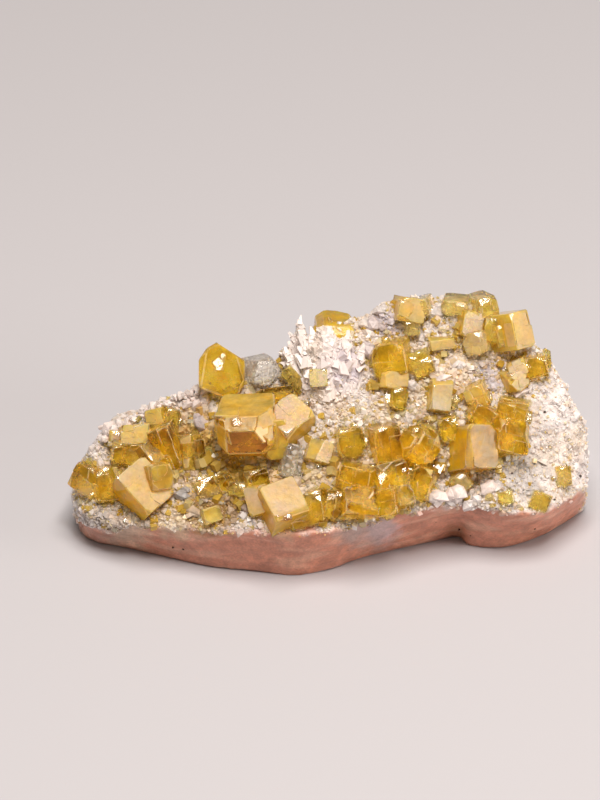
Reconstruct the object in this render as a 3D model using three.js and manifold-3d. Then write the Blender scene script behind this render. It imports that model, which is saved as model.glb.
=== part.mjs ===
// A hand specimen of yellow fluorite: honey-yellow cubes grown over the sloping face of a chunk of white granular
// quartz, with a jagged white calcite crest and two small grey quartz crystals. Millimetres, +Z up. The stone stands
// on its flat underside, the crystal face looks towards -Y and upwards, and the origin is under the middle of the
// whole piece, on the surface that it rests on.
import * as THREE from "three";
import Module from "manifold-3d";
import { ConvexGeometry } from "three/addons/geometries/ConvexGeometry.js";
import { LoftGeometry } from "three/addons/geometries/LoftGeometry.js";
import { ImprovedNoise } from "three/addons/math/ImprovedNoise.js";
import { mergeVertices } from "three/addons/utils/BufferGeometryUtils.js";

const wasm = await Module();
wasm.setup();

// ---------------------------------------------------------------- driving dimensions

const GROWTH_ELEVATION = 35; // degrees above level of the way the crystals grow out of the face
const SEAT_GAP = 0.3; // between a crystal's root and the stone that carries it
const MIDDLE = new THREE.Vector3(-0.24, 9.7, 0); // of the whole piece, in the measure of the stations below
const RING_SPACING = 1.05; // along the stone
const FACE_STEPS = 15; // round one ring: the crystal face,
const BAND_STEPS = 4; // the smooth broken front below it,
const BACK_STEPS = 9; // the back,
const FOOT_STEPS = 3; // and the underside
const FOOT_DEPTH = 1.2; // stone below the resting plane before the underside is cut flat
const FACE_LUMPS = 0.8; // height of the lumps that the crystals grow on, repeated every FACE_LUMP_SIZE
const FACE_LUMP_SIZE = 4.6;
const FACE_GRAIN = 0.4; // and of the finer roughness over them
const FACE_GRAIN_SIZE = 1.9;
const BAND_LUMPS = 0.18;
const BACK_LUMPS = 0.9;
const BACK_LUMP_SIZE = 7.5;
const BACK_GRAIN = 0.22;
const ROOT_DEPTH = 1.0; // a crystal goes on this far below its own depth, down to its seat
const BLADE_SINK = 0.6; // of a calcite blade's root into the stone
const LARGEST_CRUMB = 0.1; // cubic millimetres
const WELD = 1e-3; // points this close are one

// The stone from its left tip to its right end: x, then [y, z] of the feature lines that run along it. y counts
// back from the foremost point of the foot, and the left tip rises clear of the resting plane.
const STATIONS = [
  { x: -24.1, foot: 7.6, rise: 2.0, lip: [6.6, 3.8], crest: [8.2, 5.4], shoulder: [9.6, 4.6], heel: 8.8 },
  { x: -23.3, foot: 6.4, rise: 0.2, lip: [4.6, 4.4], crest: [8.7, 6.8], shoulder: [11.8, 5.8], heel: 10.6 },
  { x: -22.0, foot: 5.4, rise: 0, lip: [2.9, 4.7], crest: [9.4, 8.4], shoulder: [13.8, 6.8], heel: 12.6 },
  { x: -20.2, foot: 4.9, rise: 0, lip: [1.9, 5.0], crest: [10.8, 9.6], shoulder: [15.6, 7.8], heel: 14.0 },
  { x: -16.2, foot: 3.4, rise: 0, lip: [0.9, 5.2], crest: [12.2, 11.4], shoulder: [17.2, 8.0], heel: 16.0 },
  { x: -11.4, foot: 1.6, rise: 0, lip: [-0.3, 5.6], crest: [12.6, 12.6], shoulder: [18.0, 8.6], heel: 17.4 },
  { x: -6.6, foot: 0.8, rise: 0, lip: [-1.3, 6.0], crest: [13.2, 13.9], shoulder: [18.8, 9.6], heel: 18.0 },
  { x: -3.2, foot: 0.1, rise: 0, lip: [-1.7, 6.2], crest: [13.8, 14.8], shoulder: [19.4, 10.2], heel: 18.4 },
  { x: 0.2, foot: 1.1, rise: 0, lip: [-1.4, 6.3], crest: [15.2, 18.0], shoulder: [20.2, 11.8], heel: 19.0 },
  { x: 3.0, foot: 2.8, rise: 0, lip: [-0.6, 6.5], crest: [16.4, 18.8], shoulder: [20.8, 12.4], heel: 19.5 },
  { x: 6.6, foot: 4.3, rise: 0, lip: [0.4, 6.8], crest: [17.6, 19.8], shoulder: [21.8, 13.0], heel: 20.2 },
  { x: 10.6, foot: 5.8, rise: 0, lip: [1.6, 7.2], crest: [17.8, 20.3], shoulder: [22.2, 13.6], heel: 20.8 },
  { x: 12.6, foot: 6.4, rise: 0, lip: [2.2, 7.0], crest: [17.6, 20.3], shoulder: [22.2, 13.6], heel: 20.6 },
  { x: 13.6, foot: 5.0, rise: 0, lip: [2.6, 6.8], crest: [17.4, 20.2], shoulder: [22.0, 13.4], heel: 20.4 },
  { x: 16.8, foot: 4.6, rise: 0, lip: [1.7, 6.4], crest: [16.8, 19.2], shoulder: [21.0, 12.6], heel: 19.6 },
  { x: 20.4, foot: 6.4, rise: 0, lip: [2.4, 5.8], crest: [14.2, 16.7], shoulder: [18.8, 11.0], heel: 17.8 },
  { x: 23.2, foot: 9.0, rise: 0, lip: [5.4, 5.0], crest: [12.2, 12.8], shoulder: [16.2, 8.8], heel: 15.4 },
  { x: 24.8, foot: 10.6, rise: 0.6, lip: [7.6, 4.6], crest: [10.6, 9.2], shoulder: [13.0, 7.0], heel: 12.8 },
];

// Knobs and pits (height below 0) of the crystal face: across and up the face, then radius and height.
const KNOBS = [
  [-0.4, 19.4, 3.2, 1.5],
  [-3.8, 21.0, 1.6, 0.9],
  [-8.2, 13.6, 3.6, 1.3],
  [-10.2, 9.4, 2.2, -1.5],
  [-6.4, 9.6, 1.8, -0.9],
  [-15.6, 18.0, 2.4, 0.5],
  [8.6, 14.0, 3.2, 0.6],
  [11.5, 9.0, 1.3, -1.7],
  [6.8, 12.4, 1.6, -0.6],
  [19.6, 11.4, 3.0, -1.1],
  [22.6, 14.6, 2.8, 0.7],
  [17.0, 20.4, 2.8, -0.7],
  [12.0, 24.6, 2.4, 0.5],
  [4.0, 17.2, 2.4, -0.6],
];

// Blades of the white calcite crest: root across and up the face, lean in degrees from straight up it (positive to
// the left), length and width.
const BLADES = [
  [-2.7, 18.4, 0, 6.4, 1.6],
  [-3.2, 18.2, 18, 4.1, 1.6],
  [-1.3, 18.8, -8, 4.6, 2.0],
  [0.1, 19.8, 4, 3.9, 2.6],
  [-3.6, 17.8, 58, 2.6, 1.3],
];

// Every fluorite crystal that stands out: across and up the face, [width, height, depth], turn in degrees as
// [pitch, yaw, spin], lift of its centre off the stone, and how far its corners are cut back.
const FLUORITE = {
  fluorite_left: [
    { at: [-23.4, 9.3], size: [2.9, 3.0, 2.7], turn: [15, -20, -8], lift: 0.9, chop: 0.35 },
    { at: [-21.1, 8.9], size: [2.2, 3.1, 2.3], turn: [5, 10, 0], lift: 1.0 },
    { at: [-17.5, 8.6], size: [3.7, 4.5, 3.2], turn: [-16, 13, 36], lift: 1.5 },
    { at: [-16.1, 9.6], size: [2.2, 2.3, 2.1], turn: [10, 25, 10], lift: 2.6 },
    { at: [-20.6, 13.5], size: [1.8, 1.7, 1.5], turn: [25, 0, -3], lift: 0.7 },
    { at: [-18.4, 13.8], size: [3.0, 2.0, 1.9], turn: [14, 0, 3], lift: 1.0 },
    { at: [-19.2, 11.9], size: [2.7, 2.0, 1.9], turn: [10, 8, -4], lift: 0.7 },
    { at: [-15.3, 12.2], size: [2.1, 4.5, 2.4], turn: [6, -10, 17], lift: 1.3 },
    { at: [-13.1, 11.9], size: [2.1, 3.4, 2.1], turn: [5, 15, 8], lift: 0.9 },
    { at: [-16.2, 15.6], size: [1.9, 2.1, 1.9], turn: [20, -20, 10], lift: 0.8 },
    { at: [-14.9, 15.7], size: [1.4, 1.5, 1.5], turn: [10, 10, -12], lift: 0.6 },
    { at: [-16.9, 11.7], size: [1.6, 2.4, 2.6], turn: [-10, 10, 34], lift: 1.3 },
  ],
  fluorite_peak: [
    { at: [-10.0, 19.5], size: [3.2, 4.2, 3.2], turn: [18, 22, 14], lift: 0.4, chop: 0.9 },
  ],
  fluorite_twin: [
    { at: [-7.7, 13.9], size: [5.5, 4.1, 4.0], turn: [30, -6, 2], lift: 1.9, chop: 0.6 },
    { at: [-3.2, 15.2], size: [3.0, 3.2, 2.9], turn: [-20, 15, 40], lift: 1.6 },
  ],
  fluorite_front: [
    { at: [-4.2, 6.9], size: [3.6, 3.9, 3.4], turn: [-18, 8, 25], lift: 1.2 },
    { at: [-6.5, 7.3], size: [2.1, 2.8, 1.9], turn: [-5, -10, 10], lift: 0.8 },
    { at: [-1.1, 6.8], size: [1.6, 3.0, 2.2], turn: [5, -10, 5], lift: 0.8 },
    { at: [-2.5, 5.9], size: [2.4, 2.4, 1.8], turn: [0, 0, 12], lift: 0.6 },
    { at: [0.6, 7.0], size: [1.9, 2.5, 1.9], turn: [0, 0, -5], lift: 0.6 },
    { at: [-11.6, 8.5], size: [1.9, 1.7, 1.5], turn: [5, 15, 20], lift: 0.6 },
    { at: [-10.0, 8.9], size: [1.6, 1.6, 1.4], turn: [10, 20, 30], lift: 0.7 },
    { at: [-8.5, 8.4], size: [1.7, 1.2, 1.2], turn: [0, 0, -10], lift: 0.6 },
    { at: [-6.9, 9.4], size: [2.1, 1.9, 1.7], turn: [-5, 0, 10], lift: 0.6 },
    { at: [2.7, 9.4], size: [3.2, 2.4, 2.5], turn: [4, -8, 4], lift: 1.0 },
    { at: [3.0, 7.1], size: [3.2, 2.6, 2.6], turn: [-5, 10, -3], lift: 1.2 },
    { at: [5.5, 7.3], size: [2.3, 2.5, 2.4], turn: [0, -5, 2], lift: 0.9 },
    { at: [6.0, 9.6], size: [2.8, 2.5, 2.4], turn: [5, 8, -12], lift: 1.0 },
    { at: [7.2, 7.7], size: [1.6, 1.9, 1.7], turn: [0, 10, 5], lift: 0.8 },
    { at: [9.0, 9.0], size: [1.8, 3.1, 2.2], turn: [5, -8, -4], lift: 1.0 },
    { at: [5.5, 12.7], size: [2.6, 3.5, 2.9], turn: [5, 8, 8], lift: 1.0, chop: 0.6 },
    { at: [8.7, 12.6], size: [3.7, 3.5, 3.2], turn: [-5, 5, -33], lift: 1.2, chop: 0.9 },
    { at: [11.6, 14.2], size: [1.8, 2.1, 2.0], turn: [5, 0, 12], lift: 0.9 },
    { at: [14.0, 12.3], size: [3.3, 4.2, 3.2], turn: [-12, 30, -2], lift: 1.5 },
    { at: [14.7, 15.4], size: [2.3, 2.0, 1.9], turn: [8, 12, -25], lift: 1.3 },
    { at: [14.3, 17.2], size: [2.0, 2.2, 1.6], turn: [10, -10, 20], lift: 1.0 },
    { at: [17.7, 15.7], size: [2.8, 2.2, 2.2], turn: [8, 0, -8], lift: 0.9 },
    { at: [17.4, 13.3], size: [3.2, 3.0, 2.6], turn: [0, 15, -8], lift: 0.9 },
    { at: [12.7, 9.1], size: [1.7, 1.7, 1.6], turn: [-10, 0, 30], lift: 0.6 },
  ],
  fluorite_green: [
    { at: [2.1, 12.9], size: [2.3, 2.6, 1.9], turn: [5, 5, 2], lift: 0.6 },
  ],
  fluorite_high_mid: [
    { at: [6.1, 20.9], size: [3.2, 2.9, 2.7], turn: [8, -10, 5], lift: 0.9, chop: 0.3 },
    { at: [6.3, 18.7], size: [2.7, 1.6, 1.7], turn: [-6, 0, -5], lift: 0.8 },
    { at: [6.8, 17.1], size: [1.4, 2.0, 1.4], turn: [0, 10, -10], lift: 0.7 },
    { at: [9.1, 20.2], size: [1.9, 1.7, 1.5], turn: [20, 0, 15], lift: 0.6 },
    { at: [8.1, 20.3], size: [1.0, 1.3, 1.2], turn: [0, 0, 10], lift: 0.5 },
  ],
  fluorite_pale_mid: [
    { at: [10.7, 17.3], size: [2.0, 3.1, 1.8], turn: [-6, 10, -8], lift: 0.9 },
  ],
  fluorite_right_low: [
    { at: [20.2, 7.2], size: [1.7, 1.7, 1.1], turn: [0, 0, -20], lift: 0.4 },
  ],
  fluorite_right_edge: [
    { at: [22.5, 9.6], size: [1.4, 1.9, 1.1], turn: [0, 10, 3], lift: 0.4 },
  ],
  fluorite_right_speck: [
    { at: [17.0, 7.6], size: [1.3, 1.1, 1.0], turn: [0, 0, 0], lift: 0.3 },
  ],
  fluorite_top_right: [
    { at: [12.2, 25.8], size: [2.4, 1.3, 1.6], turn: [12, 0, -3], lift: 0.6 },
    { at: [13.6, 24.2], size: [2.0, 2.4, 1.8], turn: [5, 16, -5], lift: 1.0 },
    { at: [15.1, 25.8], size: [1.9, 2.0, 2.4], turn: [10, 12, 15], lift: 0.9 },
    { at: [14.3, 22.4], size: [2.2, 2.0, 1.8], turn: [5, -10, 10], lift: 0.8 },
    { at: [15.8, 23.6], size: [1.7, 2.2, 1.6], turn: [0, 0, 0], lift: 0.9 },
    { at: [17.9, 23.5], size: [2.4, 3.6, 2.3], turn: [6, 40, 15], lift: 1.4, chop: 0.2 },
    { at: [16.7, 23.0], size: [1.3, 2.0, 1.5], turn: [0, 10, 12], lift: 0.9 },
  ],
  fluorite_top: [
    { at: [7.9, 25.7], size: [2.6, 2.4, 1.9], turn: [6, 8, -6], lift: 0.8 },
    { at: [8.1, 23.9], size: [1.3, 1.7, 1.2], turn: [0, 0, 0], lift: 0.5 },
  ],
  fluorite_crest: [
    { at: [0.8, 22.6], size: [3.9, 3.6, 3.4], turn: [20, 5, -5], lift: -3.4, chop: 0.9 },
  ],
  fluorite_crest_patch: [
    { at: [-0.8, 19.0], size: [1.7, 1.7, 1.1], turn: [0, 0, 3], lift: 0.3 },
  ],
  fluorite_olive: [
    { at: [-4.8, 17.2], size: [4.0, 1.5, 2.2], turn: [-16, 0, 8], lift: 0.5 },
    { at: [-3.1, 18.9], size: [1.3, 2.8, 1.6], turn: [0, 0, 42], lift: 0.7 },
  ],
  fluorite_beige: [
    { at: [-0.8, 11.9], size: [2.3, 2.1, 1.4], turn: [-20, 10, -20], lift: 0.5 },
  ],
  fluorite_left_low: [
    { at: [-11.0, 5.9], size: [1.7, 1.5, 1.3], turn: [-5, 10, 10], lift: 0.5 },
  ],
  fluorite_streak: [
    { at: [10.9, 22.3], size: [2.4, 1.0, 1.2], turn: [15, 0, 5], lift: 0.4 },
  ],
  fluorite_right_high: [
    { at: [18.0, 19.0], size: [2.1, 2.7, 1.8], turn: [10, 15, 12], lift: 0.8 },
    { at: [20.0, 20.1], size: [2.0, 1.9, 1.6], turn: [5, -5, 5], lift: 0.6 },
    { at: [19.1, 19.8], size: [1.2, 1.5, 1.5], turn: [0, 0, 8], lift: 0.6 },
  ],
};

const QUARTZ = {
  quartz_knob: [
    { at: [-6.1, 19.7], size: [3.0, 2.3, 2.4], turn: [10, 20, 12], lift: 0.4, chop: 0.7 },
  ],
  quartz_grey: [
    { at: [-3.5, 11.1], size: [1.9, 3.0, 1.8], turn: [0, 15, -8], lift: 0.5, chop: 0.8 },
  ],
};

const COLOURS = {
  stone: 0xe6dedd,
  fluorite: 0xd9a514,
  quartz: 0xa9a6a6,
};

// ---------------------------------------------------------------- the sloping face

// The way the crystals grow: ACROSS runs to the right, UP climbs the face, OUT points away from the stone.
const growth = THREE.MathUtils.degToRad(GROWTH_ELEVATION);
const ACROSS = new THREE.Vector3(1, 0, 0);
const UP = new THREE.Vector3(0, Math.sin(growth), Math.cos(growth));
const OUT = new THREE.Vector3(0, -Math.cos(growth), Math.sin(growth));
const FACE_TURN = new THREE.Quaternion().setFromRotationMatrix(new THREE.Matrix4().makeBasis(ACROSS, UP, OUT));

function onFace(across, up, out) {
  return new THREE.Vector3(across, up, out).applyQuaternion(FACE_TURN).sub(MIDDLE);
}

function faceCoordinates(point) {
  return point.clone().add(MIDDLE).applyQuaternion(FACE_TURN.clone().invert());
}

// ---------------------------------------------------------------- solids and meshes

function welded(geometry) {
  const plain = new THREE.BufferGeometry();
  plain.setAttribute("position", geometry.getAttribute("position").clone());
  if (geometry.index) plain.setIndex(geometry.index.clone());
  return mergeVertices(plain, WELD);
}

// The same surface, moved out along its normals.
function swollen(geometry, by) {
  const skin = welded(geometry);
  skin.computeVertexNormals();
  const position = skin.getAttribute("position");
  const normal = skin.getAttribute("normal");
  for (let index = 0; index < position.count; index++) {
    const point = new THREE.Vector3().fromBufferAttribute(position, index);
    point.addScaledVector(new THREE.Vector3().fromBufferAttribute(normal, index), by);
    position.setXYZ(index, point.x, point.y, point.z);
  }
  return skin;
}

function solid(geometry) {
  const skin = welded(geometry);
  return new wasm.Manifold(
    new wasm.Mesh({
      numProp: 3,
      vertProperties: new Float32Array(skin.getAttribute("position").array),
      triVerts: new Uint32Array(skin.index.array),
    })
  );
}

function meshGeometry(body) {
  const mesh = body.getMesh();
  const geometry = new THREE.BufferGeometry();
  geometry.setAttribute("position", new THREE.BufferAttribute(new Float32Array(mesh.vertProperties), 3));
  geometry.setIndex(new THREE.BufferAttribute(new Uint32Array(mesh.triVerts), 1));
  geometry.computeVertexNormals();
  return geometry;
}

// The body of a cut solid, without the crumbs that the cut leaves beside it.
function mainBody(cut, name) {
  const bodies = solid(meshGeometry(cut)).decompose().sort((one, other) => other.volume() - one.volume());
  if (bodies.length > 1 && bodies[1].volume() > LARGEST_CRUMB) throw new Error(`${name} is in more than one piece`);
  return bodies[0];
}

// ---------------------------------------------------------------- the stone

const rough = new ImprovedNoise();

function lumps(point, size, shift) {
  return rough.noise(point.x / size + shift, point.y / size + shift, point.z / size + shift);
}

function featureLine(yz) {
  const points = STATIONS.map((station) => new THREE.Vector3(station.x, ...yz(station)));
  return new THREE.CatmullRomCurve3(points, false, "catmullrom", 0.5);
}

const LINES = {
  sole: featureLine((s) => [s.foot + 0.2, s.rise - FOOT_DEPTH]),
  heelSole: featureLine((s) => [s.heel, s.rise - FOOT_DEPTH]),
  heel: featureLine((s) => [s.heel, s.rise]),
  shoulder: featureLine((s) => s.shoulder),
  crest: featureLine((s) => s.crest),
  lip: featureLine((s) => s.lip),
  foot: featureLine((s) => [s.foot, s.rise]),
};

// One ring of the stone, as the edges it is made of: from, to, steps and kind of surface.
const EDGES = [
  ["sole", "heelSole", FOOT_STEPS, "foot"],
  ["heelSole", "heel", 1, "foot"],
  ["heel", "shoulder", Math.floor(BACK_STEPS / 2), "back"],
  ["shoulder", "crest", Math.ceil(BACK_STEPS / 2), "back"],
  ["crest", "lip", FACE_STEPS, "face"],
  ["lip", "foot", BAND_STEPS, "band"],
  ["foot", "sole", 1, "foot"],
];

function knobHeight(point) {
  const at = faceCoordinates(point);
  return KNOBS.reduce((sum, [across, up, radius, height]) => {
    const near = Math.hypot(at.x - across, at.y - up) / radius;
    return near < 1 ? sum + height * (1 - near * near) ** 2 : sum;
  }, 0);
}

function surfaceHeight(point, kind) {
  if (kind === "face") return FACE_LUMPS * lumps(point, FACE_LUMP_SIZE, 11.3) + FACE_GRAIN * lumps(point, FACE_GRAIN_SIZE, 3.7);
  if (kind === "back") return BACK_LUMPS * lumps(point, BACK_LUMP_SIZE, 7.1) + BACK_GRAIN * lumps(point, FACE_GRAIN_SIZE, 5.9);
  if (kind === "band") return BAND_LUMPS * lumps(point, FACE_LUMP_SIZE, 2.3);
  return 0;
}

// The ring at one place along the stone. Its rough points move out along the ring's own normal.
function ring(along) {
  const plain = [];
  for (const [from, to, steps, kind] of EDGES) {
    const start = LINES[from].getPoint(along);
    const end = LINES[to].getPoint(along);
    for (let step = 0; step < steps; step++) {
      plain.push({ point: start.clone().lerp(end, step / steps), kind });
    }
  }
  return plain.map(({ point, kind }, index) => {
    const before = plain.at(index - 1).point;
    const after = plain[(index + 1) % plain.length].point;
    const normal = new THREE.Vector3(0, -(before.z - after.z), before.y - after.y).normalize();
    const moved = point.clone().addScaledVector(normal, surfaceHeight(point, kind));
    moved.sub(MIDDLE);
    if (kind === "face") moved.addScaledVector(OUT, knobHeight(moved));
    return moved;
  });
}

function stoneBlock() {
  const rings = Math.round((STATIONS.at(-1).x - STATIONS[0].x) / RING_SPACING);
  const sections = [];
  for (let index = 0; index <= rings; index++) sections.push(ring(index / rings));
  return new LoftGeometry(sections, { capStart: true, capEnd: true });
}

const caster = new THREE.Raycaster();

// How far out the stone's surface is at a place on the face. Above the crest it is the crest's own.
function seatHeight(target, across, up) {
  for (let lower = 0; lower < 8; lower += 0.4) {
    caster.set(onFace(across, up - lower, 60), OUT.clone().negate());
    const [hit] = caster.intersectObject(target);
    if (hit) return faceCoordinates(hit.point).z;
  }
  throw new Error(`no stone at ${across}, ${up}`);
}

// A flat pointed blade, its root at the origin and its tip up the face.
function bladeForm(length, width) {
  const corners = [];
  for (const side of [-1, 1]) {
    for (const [wide, high] of [[0.8, -0.8], [1, length * 0.55], [0.2, length]]) {
      corners.push(new THREE.Vector3((-width / 2) * wide, high, (side * wide * width) / 4));
      corners.push(new THREE.Vector3((width / 2) * wide, high, (side * wide * width) / 4));
    }
  }
  return new ConvexGeometry(corners);
}

function castOn(geometry) {
  return new THREE.Mesh(geometry, new THREE.MeshBasicMaterial({ side: THREE.DoubleSide }));
}

const block = stoneBlock();
const blades = BLADES.map(([across, up, lean, length, width]) => {
  const blade = bladeForm(length, width);
  blade.rotateZ(THREE.MathUtils.degToRad(lean));
  blade.applyQuaternion(FACE_TURN);
  const root = onFace(across, up, seatHeight(castOn(block), across, up) - BLADE_SINK);
  return blade.translate(root.x, root.y, root.z);
});

// The stone with its blades, or the space that it needs with a gap all round.
function stone(gap) {
  return [block, ...blades].map((form) => solid(swollen(form, gap))).reduce((sum, body) => sum.add(body));
}

const below = new THREE.BoxGeometry(90, 90, 20);
below.translate(0, 0, -10);
const matrixBody = mainBody(stone(0).subtract(solid(below)), "matrix");
const matrixSurface = castOn(meshGeometry(matrixBody));
const seat = stone(SEAT_GAP);

// ---------------------------------------------------------------- the crystals

// A cube that stands on its root, with its corners cut back.
function cubeForm([width, height, depth], chop) {
  const corners = [];
  for (const x of [-width / 2, width / 2]) {
    for (const y of [-height / 2, height / 2]) {
      for (const z of [-depth / 2 - ROOT_DEPTH, depth / 2]) {
        const towards = [x, y, z].map((value) => -Math.sign(value) * chop);
        if (chop === 0) corners.push(new THREE.Vector3(x, y, z));
        else {
          corners.push(new THREE.Vector3(x + towards[0], y, z));
          corners.push(new THREE.Vector3(x, y + towards[1], z));
          corners.push(new THREE.Vector3(x, y, z + towards[2]));
        }
      }
    }
  }
  return new ConvexGeometry(corners);
}

// A stout six-sided quartz prism with a blunt point, for the same kind of seat.
function prismForm([width, height, depth], chop) {
  const corners = [];
  for (let side = 0; side < 6; side++) {
    const angle = THREE.MathUtils.degToRad(60 * side);
    const x = (Math.cos(angle) * width) / 2;
    const z = (Math.sin(angle) * depth) / 2;
    corners.push(new THREE.Vector3(x, -height / 2, z - (side > 3 ? ROOT_DEPTH : 0)));
    corners.push(new THREE.Vector3(x, height / 2 - chop, z - (side > 3 ? ROOT_DEPTH : 0)));
    corners.push(new THREE.Vector3(x * 0.3, height / 2, z * 0.3));
  }
  return new ConvexGeometry(corners);
}

function seated(form, { at: [across, up], turn, lift }) {
  const [pitch, yaw, spin] = turn.map(THREE.MathUtils.degToRad);
  form.applyQuaternion(new THREE.Quaternion().setFromEuler(new THREE.Euler(pitch, yaw, spin, "ZYX")));
  form.applyQuaternion(FACE_TURN);
  const centre = onFace(across, up, seatHeight(matrixSurface, across, up) + lift);
  form.translate(centre.x, centre.y, centre.z);
  return solid(form);
}

function cluster(name, crystals, shape) {
  const grown = crystals.map((crystal) => seated(shape(crystal.size, crystal.chop ?? 0), crystal));
  return mainBody(grown.reduce((sum, body) => sum.add(body)).subtract(seat), name);
}

// ---------------------------------------------------------------- the piece

const part = new THREE.Group();
part.name = "fluorite_cluster";

function addPiece(name, body, look) {
  const mesh = new THREE.Mesh(meshGeometry(body), new THREE.MeshStandardMaterial(look));
  mesh.name = name;
  mesh.material.name = name;
  part.add(mesh);
}

addPiece("matrix", matrixBody, { color: COLOURS.stone, roughness: 0.85, metalness: 0 });
for (const [name, crystals] of Object.entries(FLUORITE)) {
  addPiece(name, cluster(name, crystals, cubeForm), { color: COLOURS.fluorite, roughness: 0.12, metalness: 0 });
}
for (const [name, crystals] of Object.entries(QUARTZ)) {
  addPiece(name, cluster(name, crystals, prismForm), { color: COLOURS.quartz, roughness: 0.3, metalness: 0 });
}

export default part;
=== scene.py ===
import math
import random

import bmesh
import bpy
import numpy as np
from mathutils import Euler, Matrix, Vector, noise
from mathutils.bvhtree import BVHTree


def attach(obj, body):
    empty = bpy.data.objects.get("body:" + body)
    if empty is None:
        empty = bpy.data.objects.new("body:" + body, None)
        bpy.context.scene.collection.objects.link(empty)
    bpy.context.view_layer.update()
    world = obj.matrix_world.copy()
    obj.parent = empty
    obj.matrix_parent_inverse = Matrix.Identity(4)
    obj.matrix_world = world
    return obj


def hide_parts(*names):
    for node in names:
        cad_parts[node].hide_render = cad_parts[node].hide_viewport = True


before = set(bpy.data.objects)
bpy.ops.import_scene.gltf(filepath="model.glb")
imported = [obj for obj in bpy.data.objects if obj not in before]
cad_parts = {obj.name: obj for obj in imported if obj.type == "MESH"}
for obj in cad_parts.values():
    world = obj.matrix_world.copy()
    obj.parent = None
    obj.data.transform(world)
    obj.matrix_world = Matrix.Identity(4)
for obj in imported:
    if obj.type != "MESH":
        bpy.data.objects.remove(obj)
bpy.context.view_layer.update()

# ---- the view and the studio ----
# The specimen lies on a plain pale table, under a wide lamp and a small one overhead and a third at its
# right. It is seen through a long lens along the way its crystals grow out of the sloping face, 35 degrees
# above level. Everything is modelled in millimetres and brought to metres when it is finished.
MM = 0.001
GROWTH_ELEVATION = math.radians(35)
ACROSS = Vector((1, 0, 0))
UP = Vector((0, math.sin(GROWTH_ELEVATION), math.cos(GROWTH_ELEVATION)))
OUT = Vector((0, -math.cos(GROWTH_ELEVATION), math.sin(GROWTH_ELEVATION)))
FACE_TURN = Matrix((ACROSS, UP, OUT)).transposed()
# The face is measured from the foremost point of the stone, and this is the part's own middle from there.
MIDDLE = Vector((-0.24, 9.7, 0))
VIEW_CENTRE = (-2.62, 16.86, 1.0)
VIEW_DISTANCE = 700
VIEW_HEIGHT = 76.2
SENSOR = 36
WARM_WHITE = (1.0, 0.93, 0.85)
# Each lamp's name, direction, distance, width, watts and colour.
LAMPS = [
    ("lamp_overhead", (0.05, -0.22, 0.97), 420, 230, 1.75, WARM_WHITE),
    ("lamp_small", (0.12, -0.44, 0.89), 420, 64, 0.45, (1.0, 0.94, 0.87)),
    ("lamp_right", (0.9, -0.3, 0.26), 460, 190, 0.75, WARM_WHITE),
]
ROOM_COLOUR = (0.97, 0.85, 0.72, 1)
ROOM_STRENGTH = 0.22
MOST_BOUNCES = 20
GLOSSY_BOUNCES = 10
TABLE_REACH = 4.0
TABLE_COLOUR = (0.54, 0.53, 0.57, 1)


def on_face(across, up, out=0.0):
    """The point at a place measured across the sloping face, up it and out of it."""
    return FACE_TURN @ Vector((across, up, out)) - MIDDLE


def aimed(name, data, point, towards):
    thing = bpy.data.objects.new(name, data)
    thing.location = point * MM
    thing.rotation_euler = (point - towards).to_track_quat("Z", "Y").to_euler()
    bpy.context.scene.collection.objects.link(thing)
    return thing


centre = on_face(*VIEW_CENTRE)
lens = bpy.data.cameras.new("camera")
lens.sensor_width = SENSOR
lens.lens = SENSOR * VIEW_DISTANCE / VIEW_HEIGHT
bpy.context.scene.camera = aimed("camera", lens, centre + OUT * VIEW_DISTANCE, centre)

for name, direction, distance, width, watts, colour in LAMPS:
    lamp = bpy.data.lights.new(name, "AREA")
    lamp.shape = "DISK"
    lamp.size = width * MM
    lamp.energy = watts
    lamp.color = colour
    aimed(name, lamp, centre + Vector(direction).normalized() * distance, centre)

room = bpy.data.worlds.new("room")
room.use_nodes = True
room.node_tree.nodes["Background"].inputs["Color"].default_value = ROOM_COLOUR
room.node_tree.nodes["Background"].inputs["Strength"].default_value = ROOM_STRENGTH
bpy.context.scene.world = room
bpy.context.scene.view_settings.view_transform = "Standard"
bpy.context.scene.cycles.max_bounces = MOST_BOUNCES
bpy.context.scene.cycles.glossy_bounces = GLOSSY_BOUNCES
bpy.context.scene.cycles.transmission_bounces = MOST_BOUNCES


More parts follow.
